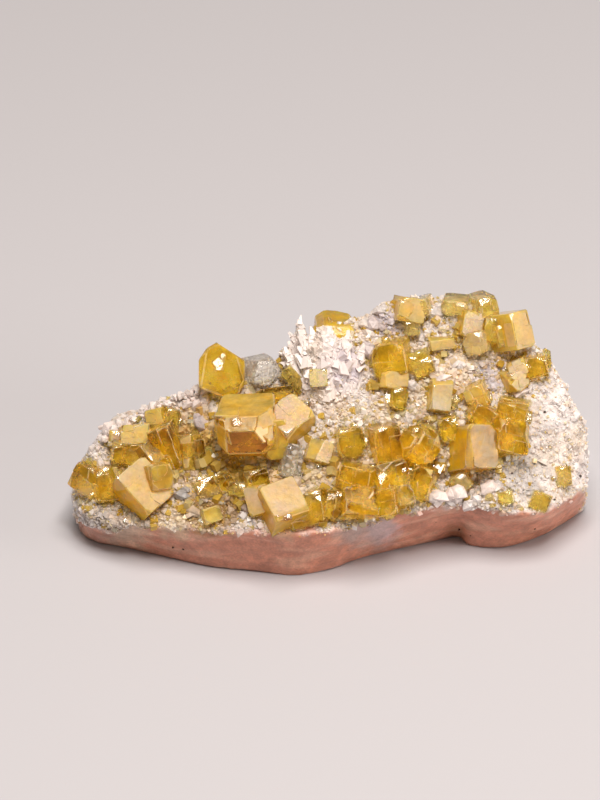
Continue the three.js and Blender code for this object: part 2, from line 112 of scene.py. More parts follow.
class Finish:
    """A new material with its Principled shader, and short ways to add nodes in front of it. glow is how
    much light scatters inside it, how far in metres, and the share of that for red, green and blue."""

    def __init__(self, name, glow=(), **constants):
        self.material = bpy.data.materials.new(name)
        self.material.use_nodes = True
        self.tree = self.material.node_tree
        self.shader = self.tree.nodes["Principled BSDF"]
        for socket, value in zip(("Weight", "Scale", "Radius"), glow):
            self.shader.inputs["Subsurface " + socket].default_value = value
        for socket, value in constants.items():
            self.shader.inputs[socket.replace("_", " ")].default_value = value
        self.place = self.node("TexCoord").outputs["Object"]

    def node(self, kind, settings=None, **inputs):
        made = self.tree.nodes.new("ShaderNode" + kind)
        for setting, value in (settings or {}).items():
            setattr(made, setting, value)
        for socket, value in inputs.items():
            self.feed(value, made.inputs[socket.replace("_", " ")])
        return made

    def feed(self, value, socket):
        if isinstance(value, bpy.types.NodeSocket):
            self.tree.links.new(value, socket)
        else:
            socket.default_value = value

    def drive(self, socket, value):
        self.feed(value, self.shader.inputs[socket])

    def grain(self, size, detail=3.0, roughness=0.55):
        """Noise from 0 to 1 whose lumps are about size millimetres across."""
        inputs = {"Vector": self.place, "Scale": 1 / (size * MM), "Detail": detail, "Roughness": roughness}
        return self.node("TexNoise", **inputs).outputs["Fac"]

    def spread(self, value, low, high, to_low=0.0, to_high=1.0):
        """A value that runs from low to high, brought to run from to_low to to_high."""
        inputs = {"Value": value, "From_Min": low, "From_Max": high, "To_Min": to_low, "To_Max": to_high}
        return self.node("MapRange", **inputs).outputs["Result"]

    def math(self, operation, one, other):
        made = self.node("Math", {"operation": operation})
        self.feed(one, made.inputs[0])
        self.feed(other, made.inputs[1])
        return made.outputs[0]

    def product(self, one, other):
        return self.math("MULTIPLY", one, other)

    def mixed(self, share, one, other, blend="MIX"):
        made = self.node("Mix", {"data_type": "RGBA", "blend_type": blend})
        self.feed(share, made.inputs[0])
        self.feed(one, made.inputs[6])
        self.feed(other, made.inputs[7])
        return made.outputs[2]

    def painted(self, name, output="Fac"):
        """What the piece's own attribute of that name holds."""
        return self.node("Attribute", {"attribute_name": name}).outputs[output]

    def bump(self, height, depth):
        """Relief that stands depth millimetres high where the height is 1."""
        made = self.node("Bump", Height=height, Distance=depth * MM, Strength=1.0)
        self.drive("Normal", made.outputs["Normal"])


tabletop = bmesh.new()
bmesh.ops.create_grid(tabletop, size=TABLE_REACH)
table_mesh = bpy.data.meshes.new("table")
tabletop.to_mesh(table_mesh)
table = bpy.data.objects.new("table", table_mesh)
bpy.context.scene.collection.objects.link(table)
table_finish = Finish("table", Base_Color=TABLE_COLOUR, Roughness=0.9)
table_mesh.materials.append(table_finish.material)

# ---- the stone ----
# A broken chunk of white granular quartz that all the rest grew on. It lies on its flat underside. The
# crystals are seated on its solid first, and its skin is made round their roots further down.
TO_MM = (1 / MM, 1 / MM, 1 / MM)
SAME_POINT = 0.002
PROBE_HEIGHT = 60
PROBE_STEP = 0.4
PROBE_TRIES = 20
FOOTHOLD = 0.5

chunk = bmesh.new()
chunk.from_mesh(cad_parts["matrix"].data)
bmesh.ops.scale(chunk, vec=TO_MM, verts=chunk.verts)
bmesh.ops.remove_doubles(chunk, verts=chunk.verts, dist=SAME_POINT)
seat_tree = BVHTree.FromBMesh(chunk)


def face_coordinates(point):
    return FACE_TURN.transposed() @ (point + MIDDLE)


def stone_below(across, up):
    """Where the stone is met on the way in to a place on the face, or None beside the stone."""
    return seat_tree.ray_cast(on_face(across, up, PROBE_HEIGHT), -OUT)[0]


def seat_height(across, up):
    """How far out the stone is at a place on the face. Above the crest it is the crest's own."""
    for step in range(PROBE_TRIES):
        hit = stone_below(across, up - PROBE_STEP * step)
        if hit is not None:
            return face_coordinates(hit).z
    raise ValueError(f"no stone at {across}, {up}")


def over_stone(across, up):
    return stone_below(across, up + FOOTHOLD) is not None


# ---- the fluorite cubes ----
# Honey-yellow fluorite, clear and glassy, grown from the stone in cubes with stepped faces and worn
# corners. The deeper a crystal is, the stronger its yellow. The broad faces of some are etched to a pale
# peach frost that also stands for a painted pale reflection of the lamps on them, and rubbed edges are
# painted as bright lines, partly wear and partly painted highlight.
ROOT_DEPTH = 1.7
FLUORITE_IOR = 1.434
AMBER = (1.0, 0.92, 0.36)
HONEY = (1.0, 0.94, 0.48)
LEMON = (1.0, 0.96, 0.67)
STRAW = (1.0, 0.97, 0.84)
WHEAT = (0.88, 0.81, 0.56)
IVORY = (1.08, 1.16, 1.12)
PALE_IVORY = (1.02, 1.05, 0.98)
CREAM_IVORY = (1.12, 1.16, 1.0)
CREAM_GLASS = (1.0, 1.0, 0.8)
BRIGHT_AMBER = (1.0, 0.95, 0.4)
DARK_AMBER = (0.46, 0.22, 0.01)
BROWN_HONEY = (0.74, 0.66, 0.26)
DARK_HONEY = (0.64, 0.53, 0.22)
PALE_YELLOW = (1.0, 0.96, 0.5)
OLIVE_GLASS = (0.84, 0.78, 0.36)
GOLD_VEIL = (0.97, 0.58, 0.02, 1)
# Colours of the frost: partly an etched face and partly a painted pale reflection of the lamps.
FROST_AND_SHEEN_PEACH = (0.77, 0.555, 0.43, 1)
FROST_AND_SHEEN_GOLD = (0.84, 0.62, 0.30, 1)
# Rubbed edges are painted paler and frosted, partly wear and partly a painted highlight along the edges.
RUBBED_AND_HIGHLIT = (1.0, 1.0, 0.92)
RUBBED_AND_HIGHLIT_ETCHES = (0.0, 0.1, 0.3, 0.65)
# A crystal frosted more than this, by etching and painted pale reflection, has few growth steps, and they
# are frosted too.
MUCH_FROST_AND_SHEEN = 0.3
YOUNG_MOST = 1.3
DEEP_YELLOW = (0.985, 0.885, 0.0)
GOLDEN_YELLOW = (0.985, 0.86, 0.0)
LIGHT_YELLOW = (0.99, 0.90, 0.1)
ZONE_COLOUR = (0.86, 0.72, 0.46, 1)
NO_COLOUR = (1, 1, 1, 1)
# The way a facet points, across, up and out of the face, to throw the small lamp's light at the camera.
SPARK_WAY = Vector((0.062, 0.246, 0.968))
SPARK_SHARE = 0.75
# How nearly a face has to point along a direction to take what is said of it.
SPARK_MATCH = 0.998
FLAT_MATCH = 0.985
FACE_MATCH = 0.95
CLOUD_MATCH = 0.9
OUTWARD = (0, 0, 1)
AXES = [Vector(way) for way in ((1, 0, 0), (0, 1, 0), (0, 0, 1), (-1, 0, 0), (0, -1, 0), (0, 0, -1))]
CORNERS = [(x, y, z) for x in (-1, 1) for y in (-1, 1) for z in (-1, 1)]


def blended(one, other, share):
    return tuple(a + (b - a) * share for a, b in zip(one, other))


def finished(bodies, *modifiers):
    """The mesh of a bmesh once its modifiers are applied. Each modifier is its kind and its settings."""
    mesh = bpy.data.meshes.new("work")
    bodies.to_mesh(mesh)
    bodies.free()
    work = bpy.data.objects.new("work", mesh)
    bpy.context.scene.collection.objects.link(work)
    for kind, settings in modifiers:
        modifier = work.modifiers.new(kind, kind)
        for setting, value in settings.items():
            setattr(modifier, setting, value)
    made = bpy.data.meshes.new_from_object(work.evaluated_get(bpy.context.evaluated_depsgraph_get()))
    bpy.data.objects.remove(work)
    return made


def add_piece(name, mesh, finish, slot, *nodes):
    """Puts a mesh modelled in millimetres in the scene, for the CAD nodes that it stands for."""
    mesh.transform(Matrix.Scale(MM, 4))
    mesh.materials.clear()
    mesh.materials.append(finish.material)
    piece = bpy.data.objects.new(name, mesh)
    bpy.context.scene.collection.objects.link(piece)
    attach(piece, "root")
    if nodes:
        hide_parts(*nodes)
    return piece


def astray(luck, spread):
    return [luck.gauss(0, spread) for _ in range(3)]


def reach_of(body, way):
    return max(vertex.co.dot(way) for vertex in body.verts)


def shave(body, direction, distance):
    """Cuts a flat facet square to a direction, at a distance from the body's own middle."""
    way = Vector(direction).normalized()
    if reach_of(body, way) < distance + 0.02:
        return
    whole = body.verts[:] + body.edges[:] + body.faces[:]
    cut = bmesh.ops.bisect_plane(body, geom=whole, plane_co=way * distance, plane_no=way, clear_outer=True)
    rim = [item for item in cut["geom_cut"] if isinstance(item, bmesh.types.BMEdge)]
    bmesh.ops.edgeloop_fill(body, edges=rim)


def block(size, centre, worn, bevel, facets, luck):
    """One cube-shaped body of a crystal, in the crystal's own frame. Its corners and some edges are chipped,
    each a little differently, and its edges are rubbed off."""
    made = bmesh.new()
    bmesh.ops.create_cube(made, size=1)
    bmesh.ops.scale(made, vec=size, verts=made.verts)
    bmesh.ops.translate(made, vec=centre, verts=made.verts)
    for direction, distance in facets:
        shave(made, direction, distance)
    chips = CORNERS + luck.sample(((1, 0, 1), (-1, 0, 1), (0, 1, 1), (0, -1, 1), (1, 1, 0), (-1, 1, 0)), 2)
    for chip in chips:
        way = (Vector(chip) + Vector(astray(luck, 0.3))).normalized()
        shave(made, way, reach_of(made, way) - worn * luck.uniform(0.15, 1.0))
    bmesh.ops.bevel(
        made, geom=made.edges[:], offset=bevel, affect="EDGES", segments=1, profile=0.5, material=-1
    )
    return made


def growth_steps(size, count, proud, luck):
    """Smaller blocks that stand a little proud of a crystal's faces, as size and centre."""
    for _ in range(count):
        plate = [value * luck.uniform(0.3, 0.75) for value in size]
        centre = [luck.uniform(-0.5, 0.5) * (value - long) for value, long in zip(size, plate)]
        for axis in luck.sample((0, 1, 2), 2):
            side = 1 if axis == 2 else luck.choice((-1, 1))
            centre[axis] = side * ((size[axis] - plate[axis]) / 2 + luck.uniform(0.2, 1.0) * proud)
        yield plate, centre


def spark_facet(size, spark, luck):
    """A small facet across a crystal's corner that glitters in the small lamp, as direction and distance."""
    slopes = [max(abs(value), 0.08) for value in spark]
    bite = math.sqrt(2 * luck.uniform(0.05, 0.45) * slopes[0] * slopes[1] * slopes[2])
    reach = sum(abs(value) * long / 2 for value, long in zip(spark, size))
    return spark, reach - bite


def towards(pairs):
    """Directions brought to length 1, each with what goes with it."""
    return [(Vector(direction).normalized(), what) for direction, what in pairs]


def crystal(
    at, size, turn, lift, tint=HONEY, worn=0.0, frost=0.0, cloud=0.0,
    facets=(), glare=(), depths=(), clouds=(), steps=5, young=3,
):
    """One crystal as a list of bodies: the cube, its growth steps and the young crystals at its foot. at is
    its place across and up the face, turn its pitch, yaw and spin in degrees, and lift how far its middle
    stands out of the stone. frost makes the outward face pale, partly by etching and partly as painted pale
    reflection of the lamps, and glare paints pale highlights on others, as direction and amount. cloud is
    the milkiness under all faces and clouds under some. The tints given for single faces paint light and
    shade on them: paler on faces turned to the lamps and darker amber on faces turned away. facets are cut
    across it, as direction and distance."""
    luck = random.Random(f"{at}{size}")
    least = min(size)
    worn = worn or 0.17 * least
    width, height, depth = size
    main = (width, height, depth + ROOT_DEPTH)
    pitch, yaw, spin = (math.radians(angle) for angle in turn)
    pose = Euler((pitch, yaw, spin), "XYZ").to_matrix()
    spark = pose.transposed() @ SPARK_WAY
    if steps and not glare and luck.random() < SPARK_SHARE:
        facets = [*facets, spark_facet(size, spark, luck)]
    bodies = [block(main, (0, 0, -ROOT_DEPTH / 2), worn, 0.03 * least, facets, luck)]
    much_frost_and_sheen = frost > MUCH_FROST_AND_SHEEN
    count, proud = (min(steps, 2), 0.04) if much_frost_and_sheen else (steps, 0.07 * least)
    for plate, centre in growth_steps(size, count, proud, luck):
        bodies.append(block(plate, centre, 0.07 * least, 0.018 * least, facets, luck))
    frost_and_glare = towards([(OUTWARD, frost), *glare])
    painted_light_ways = towards(depths)
    milks = towards(clouds)
    flat = AXES + [way for way, _ in towards(facets)]
    stand = on_face(*at, seat_height(*at) + lift)
    pose = (FACE_TURN @ pose).to_4x4()
    for body in bodies:
        tints = body.faces.layers.float_color.new("tint")
        frost_and_sheen_layer = body.faces.layers.float.new("frost")
        cloudy = body.faces.layers.float.new("cloud")
        body.normal_update()
        for face in body.faces:
            # A face with a tint of its own has light and shade painted on it.
            inner = next((colour for way, colour in painted_light_ways if face.normal.dot(way) > FACE_MATCH), tint)
            # Frost here is partly etching and partly painted pale reflection of the lamps; glare is a
            # painted highlight.
            sheen_and_etch = max(amount if face.normal.dot(way) > FACE_MATCH else 0.0 for way, amount in frost_and_glare)
            if much_frost_and_sheen and body is not bodies[0]:
                sheen_and_etch = frost
            milk = max([cloud] + [amount for way, amount in milks if face.normal.dot(way) > CLOUD_MATCH])
            if much_frost_and_sheen and sheen_and_etch == 0.0:
                inner, milk = AMBER, max(milk, 0.7)
            # Spark facets stay clear, and rubbed edges are painted paler: wear, and a painted highlight too.
            if face.normal.dot(spark) > SPARK_MATCH:
                sheen_and_etch = 0.0
            elif max(face.normal.dot(way) for way in flat) < FLAT_MATCH:
                inner, sheen_and_etch = blended(inner, RUBBED_AND_HIGHLIT, 0.6), luck.choice(RUBBED_AND_HIGHLIT_ETCHES)
            glow = luck.uniform(0.93, 1.0)
            face[tints] = (*(value * glow for value in inner), 1)
            face[frost_and_sheen_layer] = sheen_and_etch
            face[cloudy] = milk
        body.transform(Matrix.Translation(stand) @ pose)
    return bodies + young_crystals(at, size, young, luck)


def young_crystals(at, size, count, luck):
    """The bodies of the small crystals at the foot of a larger one."""
    bodies = []
    for _ in range(count):
        bearing = luck.uniform(0, 2 * math.pi)
        small = [luck.uniform(0.5, 1.0) * min(YOUNG_MOST, 0.45 * min(size)) for _ in range(3)]
        away = 0.5 * max(size[0], size[1]) + 0.1 * small[0]
        spot = (at[0] + away * math.cos(bearing), at[1] + away * math.sin(bearing))
        if not over_stone(*spot):
            continue
        tilt = (luck.uniform(-30, 30), luck.uniform(-30, 30), luck.uniform(0, 90))
        pale = luck.choice((HONEY, LEMON, LEMON, STRAW))
        rise = luck.uniform(0.1, 0.45) * small[2]
        sheen_and_etch = luck.choice((0.0, 0.0, 0.3))
        bodies += crystal(spot, small, tilt, rise, tint=pale, frost=sheen_and_etch, steps=1, young=0)
    return bodies


def spark_plate(host, across, up, size, front, spin=0, sheen_and_etch=0.0):
    """A small clear growth plate that glitters in the small lamp, as a crystal for grow. It lies on the face
    of the crystal whose foot is at host, and front is how far its middle stands out of the stone there."""
    options = {"frost": sheen_and_etch, "steps": 0, "young": 0, "worn": 0.3 * size}
    lift = seat_height(*host) + front - 0.5 - seat_height(across, up)
    way = Matrix.Rotation(math.radians(-spin), 3, "Z") @ SPARK_WAY
    tip = math.degrees(math.asin(-way.y))
    swing = math.degrees(math.atan2(way.x, way.z))
    return (across, up), (size, 0.8 * size, 1.0), (tip, swing, spin), lift, STRAW, options


def grown_together(bodies):
    """One closed mesh of bodies that overlap."""
    others = []
    for body in bodies[1:]:
        mesh = bpy.data.meshes.new("work")
        body.to_mesh(mesh)
        body.free()
        other = bpy.data.objects.new("work", mesh)
        bpy.context.scene.collection.objects.link(other)
        others.append(other)
    joins = [("BOOLEAN", {"operation": "UNION", "solver": "MANIFOLD", "object": other}) for other in others]
    whole = finished(bodies[0], *joins)
    for other in others:
        bpy.data.objects.remove(other)
    return whole


def fluorite_glass(name, colour, density):
    """Clear yellow glass with cloudy golden veils in it. The faces' own frost makes them pale and matt,
    partly as etching and partly as painted pale reflection of the lamps and painted highlights.
    """
    glass = Finish(name, glow=(0.7, 0.0014, (1.0, 0.75, 0.2)), IOR=FLUORITE_IOR)
    frost = glass.painted("frost")
    frost = glass.product(frost, glass.spread(glass.grain(0.30, 4.0), 0.35, 0.6, 0.82, 1.0))
    veil = glass.spread(glass.grain(1.5, 5.0, 0.62), 0.46, 0.72, 0.0, 1.0)
    drift = glass.spread(glass.grain(0.9, 4.0), 0.3, 0.7, 0.6, 1.1)
    cloud = glass.product(glass.painted("cloud"), drift)
    tint = glass.painted("tint", "Color")
    zones = glass.mixed(glass.spread(glass.grain(2.4, 3.0), 0.40, 0.60), ZONE_COLOUR, NO_COLOUR)
    tint = glass.mixed(1.0, tint, zones, "MULTIPLY")
    body = glass.mixed(glass.math("MAXIMUM", glass.product(veil, 0.85), cloud), tint, GOLD_VEIL)
    # The frost's colour, pale peach to gold, which also stands for a painted pale reflection of the lamps.
    warm = glass.mixed(glass.spread(glass.grain(1.6, 4.0), 0.42, 0.64), FROST_AND_SHEEN_PEACH, FROST_AND_SHEEN_GOLD)
    warm = glass.mixed(1.0, warm, glass.painted("tint", "Color"), "MULTIPLY")
    glass.drive("Base Color", glass.mixed(frost, body, warm))
    clear = glass.product(glass.spread(veil, 0.0, 1.0, 1.0, 0.66), glass.spread(cloud, 0.0, 1.0, 1.0, 0.4))
    clear = glass.product(clear, glass.spread(frost, 0.0, 1.0, 1.0, 0.1))
    glass.drive("Transmission Weight", clear)
    glass.drive("Roughness", glass.spread(frost, 0.0, 1.0, 0.05, 0.32))
    glass.bump(glass.grain(0.7, 4.0), 0.04)
    absorb = glass.node("VolumeAbsorption", Color=(*colour, 1), Density=density)
    output = glass.tree.nodes["Material Output"]
    glass.feed(absorb.outputs["Volume"], output.inputs["Volume"])
    return glass


deep_glass = fluorite_glass("deep_fluorite", DEEP_YELLOW, 600)
golden_glass = fluorite_glass("golden_fluorite", GOLDEN_YELLOW, 620)
pale_glass = fluorite_glass("pale_fluorite", LIGHT_YELLOW, 380)
grown = []


def grow(node, glass, crystals):
    """Crystals that grew together, for one CAD node: each one's place, size, turn, lift, tint, options."""
    bodies = []
    for at, size, turn, lift, tint, *options in crystals:
        bodies += crystal(at, size, turn, lift, tint, **(options[0] if options else {}))
    grown.append(add_piece(node + "_crystals", grown_together(bodies), glass, "fluorite", node))


# ---- the fluorite at the left end ----
# A pale cube stands on its corner in front, with tall olive-yellow crystals behind it and a row of small
# pale cubes along the edge. All of it is fluorite, grown together.
grow("fluorite_left", golden_glass, [
    ((-22.9, 9.2), (2.7, 2.5, 2.6), (8, -14, -33), 0.9, LEMON, {"worn": 0.4}),
    ((-21.1, 8.9), (2.2, 3.1, 2.3), (5, 12, 6), 1.0, HONEY),
    ((-17.6, 8.4), (3.6, 4.7, 3.2), (-3, 21, 41), 1.5, LEMON, {
        "frost": 0.8,
        "young": 0,
        "clouds": [((-1, 0, 0), 1.0), ((0, -1, 0), 1.0)],
    }),
    ((-16.1, 9.6), (2.2, 2.3, 2.1), (10, 24, 12), 2.6, AMBER, {"cloud": 0.6, "young": 0}),
    ((-20.2, 13.2), (1.5, 1.5, 1.5), (4, 6, -6), 0.6, STRAW, {"frost": 0.6}),
    ((-18.4, 13.5), (2.9, 1.9, 1.9), (-6, 4, 5), 1.0, PALE_YELLOW, {"frost": 0.8, "young": 1}),
    ((-19.2, 11.9), (2.7, 2.0, 1.9), (10, 12, -6), 0.7, HONEY),
    ((-15.3, 12.2), (2.1, 4.5, 2.4), (10, -16, 19), 1.3, OLIVE_GLASS, {"young": 1}),
    ((-13.1, 11.9), (2.1, 3.4, 2.1), (5, 20, 8), 0.9, OLIVE_GLASS, {"worn": 0.5}),
    ((-16.3, 15.2), (1.7, 1.8, 1.7), (4, -22, 12), 0.5, PALE_YELLOW, {"frost": 0.8, "young": 1}),
    ((-14.9, 15.3), (1.4, 1.5, 1.5), (6, 14, -16), 0.5, LEMON),
    spark_plate((-16.1, 9.6), -15.9, 10.2, 0.6, 3.6, 40),
    ((-16.9, 11.7), (1.6, 2.2, 2.4), (-4, 24, 34), 1.2, LEMON, {"cloud": 0.3, "young": 0}),
])
grow("fluorite_left_low", pale_glass, [
    ((-11.0, 5.9), (1.7, 1.5, 1.3), (-8, 14, 16), 0.5, HONEY, {"worn": 0.3, "cloud": 0.5, "steps": 0}),
])

# ---- the fluorite peak ----
# A single rounded crystal of deep yellow fluorite that stands free at the left of the crest. It grew with
# more faces than the cubes, and small growth plates on them glitter.
PEAK = {
    "worn": 0.2,
    "steps": 0,
    "cloud": 0.15,
    "young": 0,
    "facets": [
        ((0.54, 0.84, 0), 1.96),
        ((-0.5, 0.87, 0), 2.55),
        ((-0.83, 0.55, 0), 2.38),
        ((0.85, -0.52, 0), 2.55),
        ((-0.39, -0.92, 0), 2.4),
        ((-0.62, 0.1, 0.78), 2.35),
        ((0.6, 0.2, 0.77), 2.4),
        ((0.2, -0.5, 0.84), 2.5),
    ],
    # A painted pale highlight on the face that slopes to the left.
    "glare": [((-0.62, 0.1, 0.78), 0.1)],
}
grow("fluorite_peak", deep_glass, [
    ((-10.1, 19.7), (4.4, 5.3, 3.3), (0, 0, 0), 0.5, AMBER, PEAK),
    spark_plate((-10.1, 19.7), -10.7, 20.5, 1.6, 2.26, 35),
    spark_plate((-10.1, 19.7), -9.9, 20.9, 1.1, 2.24, 62),
    spark_plate((-10.1, 19.7), -10.4, 19.9, 0.9, 2.24, 10),
])

# ---- the fluorite twins ----
# The two largest crystals, grown side by side: a broad amber cube seen from above, its front edge cut by
# a wide facet painted pale as a highlight, its top painted lighter and its lower faces darker amber as
# shade, and a frosted one on its corner, its frost partly etching and partly painted pale reflection.
TWIN_LEFT = {
    "worn": 0.35,
    "steps": 4,
    "facets": [
        ((0, 0.78, 0.63), 2.35),
        ((0.66, 0.52, 0.54), 2.6),
        ((-1, 0, 1), 2.7),
        ((1, 0, 1), 3.0),
        ((0, -1, 1), 2.35),
        ((-1, -1, 0.3), 2.7),
        ((1, -1, 0.3), 2.7),
        ((-1, -1, 1), 3.2),
    ],
    # Glare paints pale highlights on these upper faces.
    "glare": [((0, 0.78, 0.63), 0.22), ((0.66, 0.52, 0.54), 0.55), ((0, 1, 0), 0.12)],
    "young": 1,
    "clouds": [((0, 1, 0), 0.55), ((1, 0, 0), 0.8), ((1, 0, 1), 0.7), ((-1, 0, 1), 0.5), ((-1, 0, 0), 0.6)],
    # Tints that paint light and shade: the top and a corner facet paler, the outward and lower front faces
    # darker amber.
    "depths": [
        ((0, 1, 0), BRIGHT_AMBER),
        ((0.66, 0.52, 0.54), CREAM_GLASS),
        (OUTWARD, DARK_AMBER),
        ((0, -1, 1), DARK_AMBER),
    ],
}
grow("fluorite_twin", deep_glass, [
    ((-7.7, 13.9), (5.5, 4.1, 4.0), (30, -6, 2), 1.9, AMBER, TWIN_LEFT),
    ((-5.1, 13.3), (2.0, 3.8, 2.6), (12, 12, 5), 1.5, AMBER, {"cloud": 0.6, "steps": 2, "young": 0}),
    spark_plate((-7.7, 13.9), -8.7, 14.7, 1.0, 4.2, 10),
    ((-3.6, 14.8), (3.7, 3.4, 2.9), (-26, 22, 38), 1.6, STRAW, {"frost": 0.85, "young": 1}),
])

# ---- the fluorite along the front ----
# The long grown-together group over the lip of the face, from the pale block at the left to the tall pair
# at the right. Its crystals are clear and golden, and some are rounded.
ROUNDED = [
    ((1, 1, 0), 1.95),
    ((-1, 1, 0), 1.9),
    ((1, -1, 0), 1.9),
    ((-1, -1, 0), 1.85),
    ((1, 0, 1), 1.9),
    ((-1, 0, 1), 1.85),
    ((0, 1, 1), 1.85),
    ((0, -1, 1), 1.9),
]
grow("fluorite_front", golden_glass, [
    ((-4.3, 6.8), (3.6, 3.9, 3.4), (-24, 18, 20), 1.2, WHEAT, {"frost": 0.8, "worn": 0.25, "young": 0}),
    spark_plate((-4.3, 6.8), -4.0, 5.9, 1.1, 3.46, 15, 0.28),
    ((-6.5, 7.3), (2.1, 2.8, 1.9), (-12, -14, 18), 0.8, STRAW, {"frost": 0.6}),
    ((-1.1, 6.8), (1.6, 3.0, 2.2), (8, -14, 9), 0.8, HONEY),
    ((-2.5, 5.9), (2.4, 2.4, 1.8), (-6, 8, 16), 0.6, HONEY),
    ((0.6, 7.0), (1.9, 2.5, 1.9), (6, 12, -9), 0.6, HONEY),
    ((-11.6, 8.5), (1.9, 1.7, 1.5), (8, 18, 24), 0.6, STRAW, {"worn": 0.35}),
    ((-10.0, 8.9), (1.6, 1.6, 1.4), (10, 24, 34), 0.7, HONEY),
    ((-8.5, 8.4), (1.7, 1.2, 1.2), (6, -12, -14), 0.6, HONEY),
    ((-6.9, 9.4), (2.1, 1.9, 1.7), (12, 14, 14), 0.6, OLIVE_GLASS),
    ((2.7, 9.4), (3.2, 2.4, 2.5), (12, -14, -13), 1.0, AMBER, {"worn": 0.5}),
    ((3.0, 7.1), (3.2, 2.6, 2.6), (-12, 14, -5), 1.2, LEMON),
    ((5.5, 7.3), (2.3, 2.5, 2.4), (8, -12, 7), 0.9, HONEY),
    ((6.0, 9.6), (2.8, 2.5, 2.4), (-8, 13, 12), 1.0, AMBER, {"worn": 0.45}),
    ((7.2, 7.7), (1.6, 1.9, 1.7), (-8, 16, 9), 0.8, STRAW),
    ((9.0, 9.0), (1.8, 3.1, 2.2), (8, -14, -16), 1.0, AMBER, {"worn": 0.4}),
    ((5.5, 12.7), (2.6, 3.5, 2.9), (8, 12, 10), 1.0, BROWN_HONEY, {"worn": 0.6}),
    ((8.7, 12.6), (3.7, 3.5, 3.2), (-8, 6, -33), 1.2, HONEY, {"facets": ROUNDED}),
    ((11.6, 14.2), (1.8, 2.1, 2.0), (8, -8, 14), 0.9, AMBER),
    ((14.0, 12.3), (3.3, 4.2, 3.2), (-8, 30, -2), 1.5, DARK_HONEY, {
        "frost": 0.45,
        "young": 1,
        "clouds": [((-1, 0, 0), 1.0)],
    }),
    spark_plate((2.7, 9.4), 3.7, 9.7, 0.6, 2.25, 45),
    spark_plate((8.7, 12.6), 8.3, 13.9, 0.6, 2.7, 20),
    spark_plate((3.0, 7.1), 1.9, 6.5, 0.5, 2.5, 0),
    spark_plate((6.0, 9.6), 7.2, 10.1, 0.5, 2.2, 30),
    ((14.7, 15.4), (2.3, 2.0, 1.9), (10, 16, -28), 1.3, LEMON),
    ((14.3, 17.2), (1.9, 2.1, 1.6), (12, -12, 24), 0.8, PALE_YELLOW, {
        "frost": 0.28,
        "cloud": 0.5,
        "worn": 0.4,
    }),
    ((17.7, 15.7), (2.8, 2.2, 2.2), (14, -6, -12), 0.9, OLIVE_GLASS, {"worn": 0.4}),
    ((17.4, 13.3), (3.2, 3.0, 2.6), (-6, 20, -12), 0.9, OLIVE_GLASS, {"worn": 0.5}),
    ((12.7, 9.1), (1.7, 1.7, 1.6), (8, -14, 34), 0.6, LEMON, {"cloud": 0.4}),
])

# ---- the fluorite over the rest of the face ----
# Lone cubes and small groups, clear golden ones in the middle and paler ones towards the top, more of them
# frosted by etching and painted pale reflection.
# The one behind the crest stands half out of the calcite.
grow("fluorite_green", golden_glass, [
    ((2.1, 12.9), (2.3, 2.6, 1.9), (8, 9, 5), 0.6, OLIVE_GLASS, {"worn": 0.35}),
])
grow("fluorite_high_mid", deep_glass, [
    ((6.1, 20.9), (3.2, 2.9, 2.7), (12, -16, 9), 0.9, HONEY, {"worn": 0.5}),
    ((6.3, 18.7), (2.6, 1.6, 1.7), (-8, 6, -8), 0.6, LEMON, {"frost": 0.6, "worn": 0.5}),
    ((6.8, 17.1), (1.4, 2.0, 1.4), (5, 14, -12), 0.7, HONEY),
    ((9.1, 20.2), (1.9, 1.7, 1.5), (24, -6, 20), 0.6, HONEY),
    ((8.1, 20.3), (1.0, 1.3, 1.2), (0, 0, 10), 0.5, HONEY),
])
grow("fluorite_pale_mid", pale_glass, [
    ((10.7, 17.3), (2.0, 3.1, 1.8), (-9, 14, -9), 0.8, PALE_IVORY, {"frost": 0.6, "worn": 0.6}),
])
grow("fluorite_right_low", pale_glass, [
    ((20.2, 7.2), (1.7, 1.7, 1.1), (5, 8, -22), 0.4, HONEY),
])
grow("fluorite_right_edge", golden_glass, [
    ((22.5, 9.6), (1.4, 1.9, 1.1), (4, 12, 5), 0.4, STRAW),
])
grow("fluorite_right_speck", pale_glass, [
    ((17.0, 7.6), (1.3, 1.1, 1.0), (6, -8, 12), 0.3, HONEY),
])
grow("fluorite_top_right", pale_glass, [
    ((12.2, 25.8), (2.4, 1.3, 1.6), (16, -6, -5), 0.6, STRAW),
    ((13.6, 24.2), (2.0, 2.4, 1.8), (8, 20, -7), 0.9, IVORY, {"frost": 0.85, "worn": 0.45}),
    ((15.1, 25.8), (1.9, 2.0, 2.4), (14, 14, 18), 0.9, STRAW),
    ((14.3, 22.4), (2.2, 2.0, 1.8), (8, -14, 12), 0.8, STRAW, {"frost": 0.28, "cloud": 0.3}),
    ((15.8, 23.6), (1.7, 2.2, 1.6), (6, 8, -6), 0.9, AMBER, {"cloud": 0.3}),
    ((17.9, 23.5), (2.4, 3.6, 2.3), (6, 40, 15), 1.4, LEMON, {"frost": 0.75, "worn": 0.2, "young": 0}),
    ((16.7, 23.0), (1.3, 2.0, 1.5), (4, 14, 14), 0.9, AMBER, {"cloud": 0.4}),
])
grow("fluorite_top", pale_glass, [
    ((7.9, 25.5), (2.6, 2.3, 1.9), (2, 12, -8), 0.6, LEMON, {"worn": 0.4, "frost": 0.6}),
    ((9.0, 25.7), (1.5, 1.7, 1.5), (8, -16, 14), 0.6, STRAW),
    ((8.1, 23.9), (1.3, 1.7, 1.2), (0, 8, 6), 0.5, STRAW),
])
grow("fluorite_crest", pale_glass, [
    ((0.8, 22.6), (3.9, 3.6, 3.4), (20, 5, -5), -3.4, AMBER, {
        "cloud": 0.9,
        "young": 0,
        "facets": [
            ((0.8, 0.6, 0), 2.1),
            ((-0.7, 0.7, 0), 2.15),
            ((0, 0.7, 0.7), 1.95),
            ((0.7, 0, 0.7), 2.1),
        ],
    }),
])
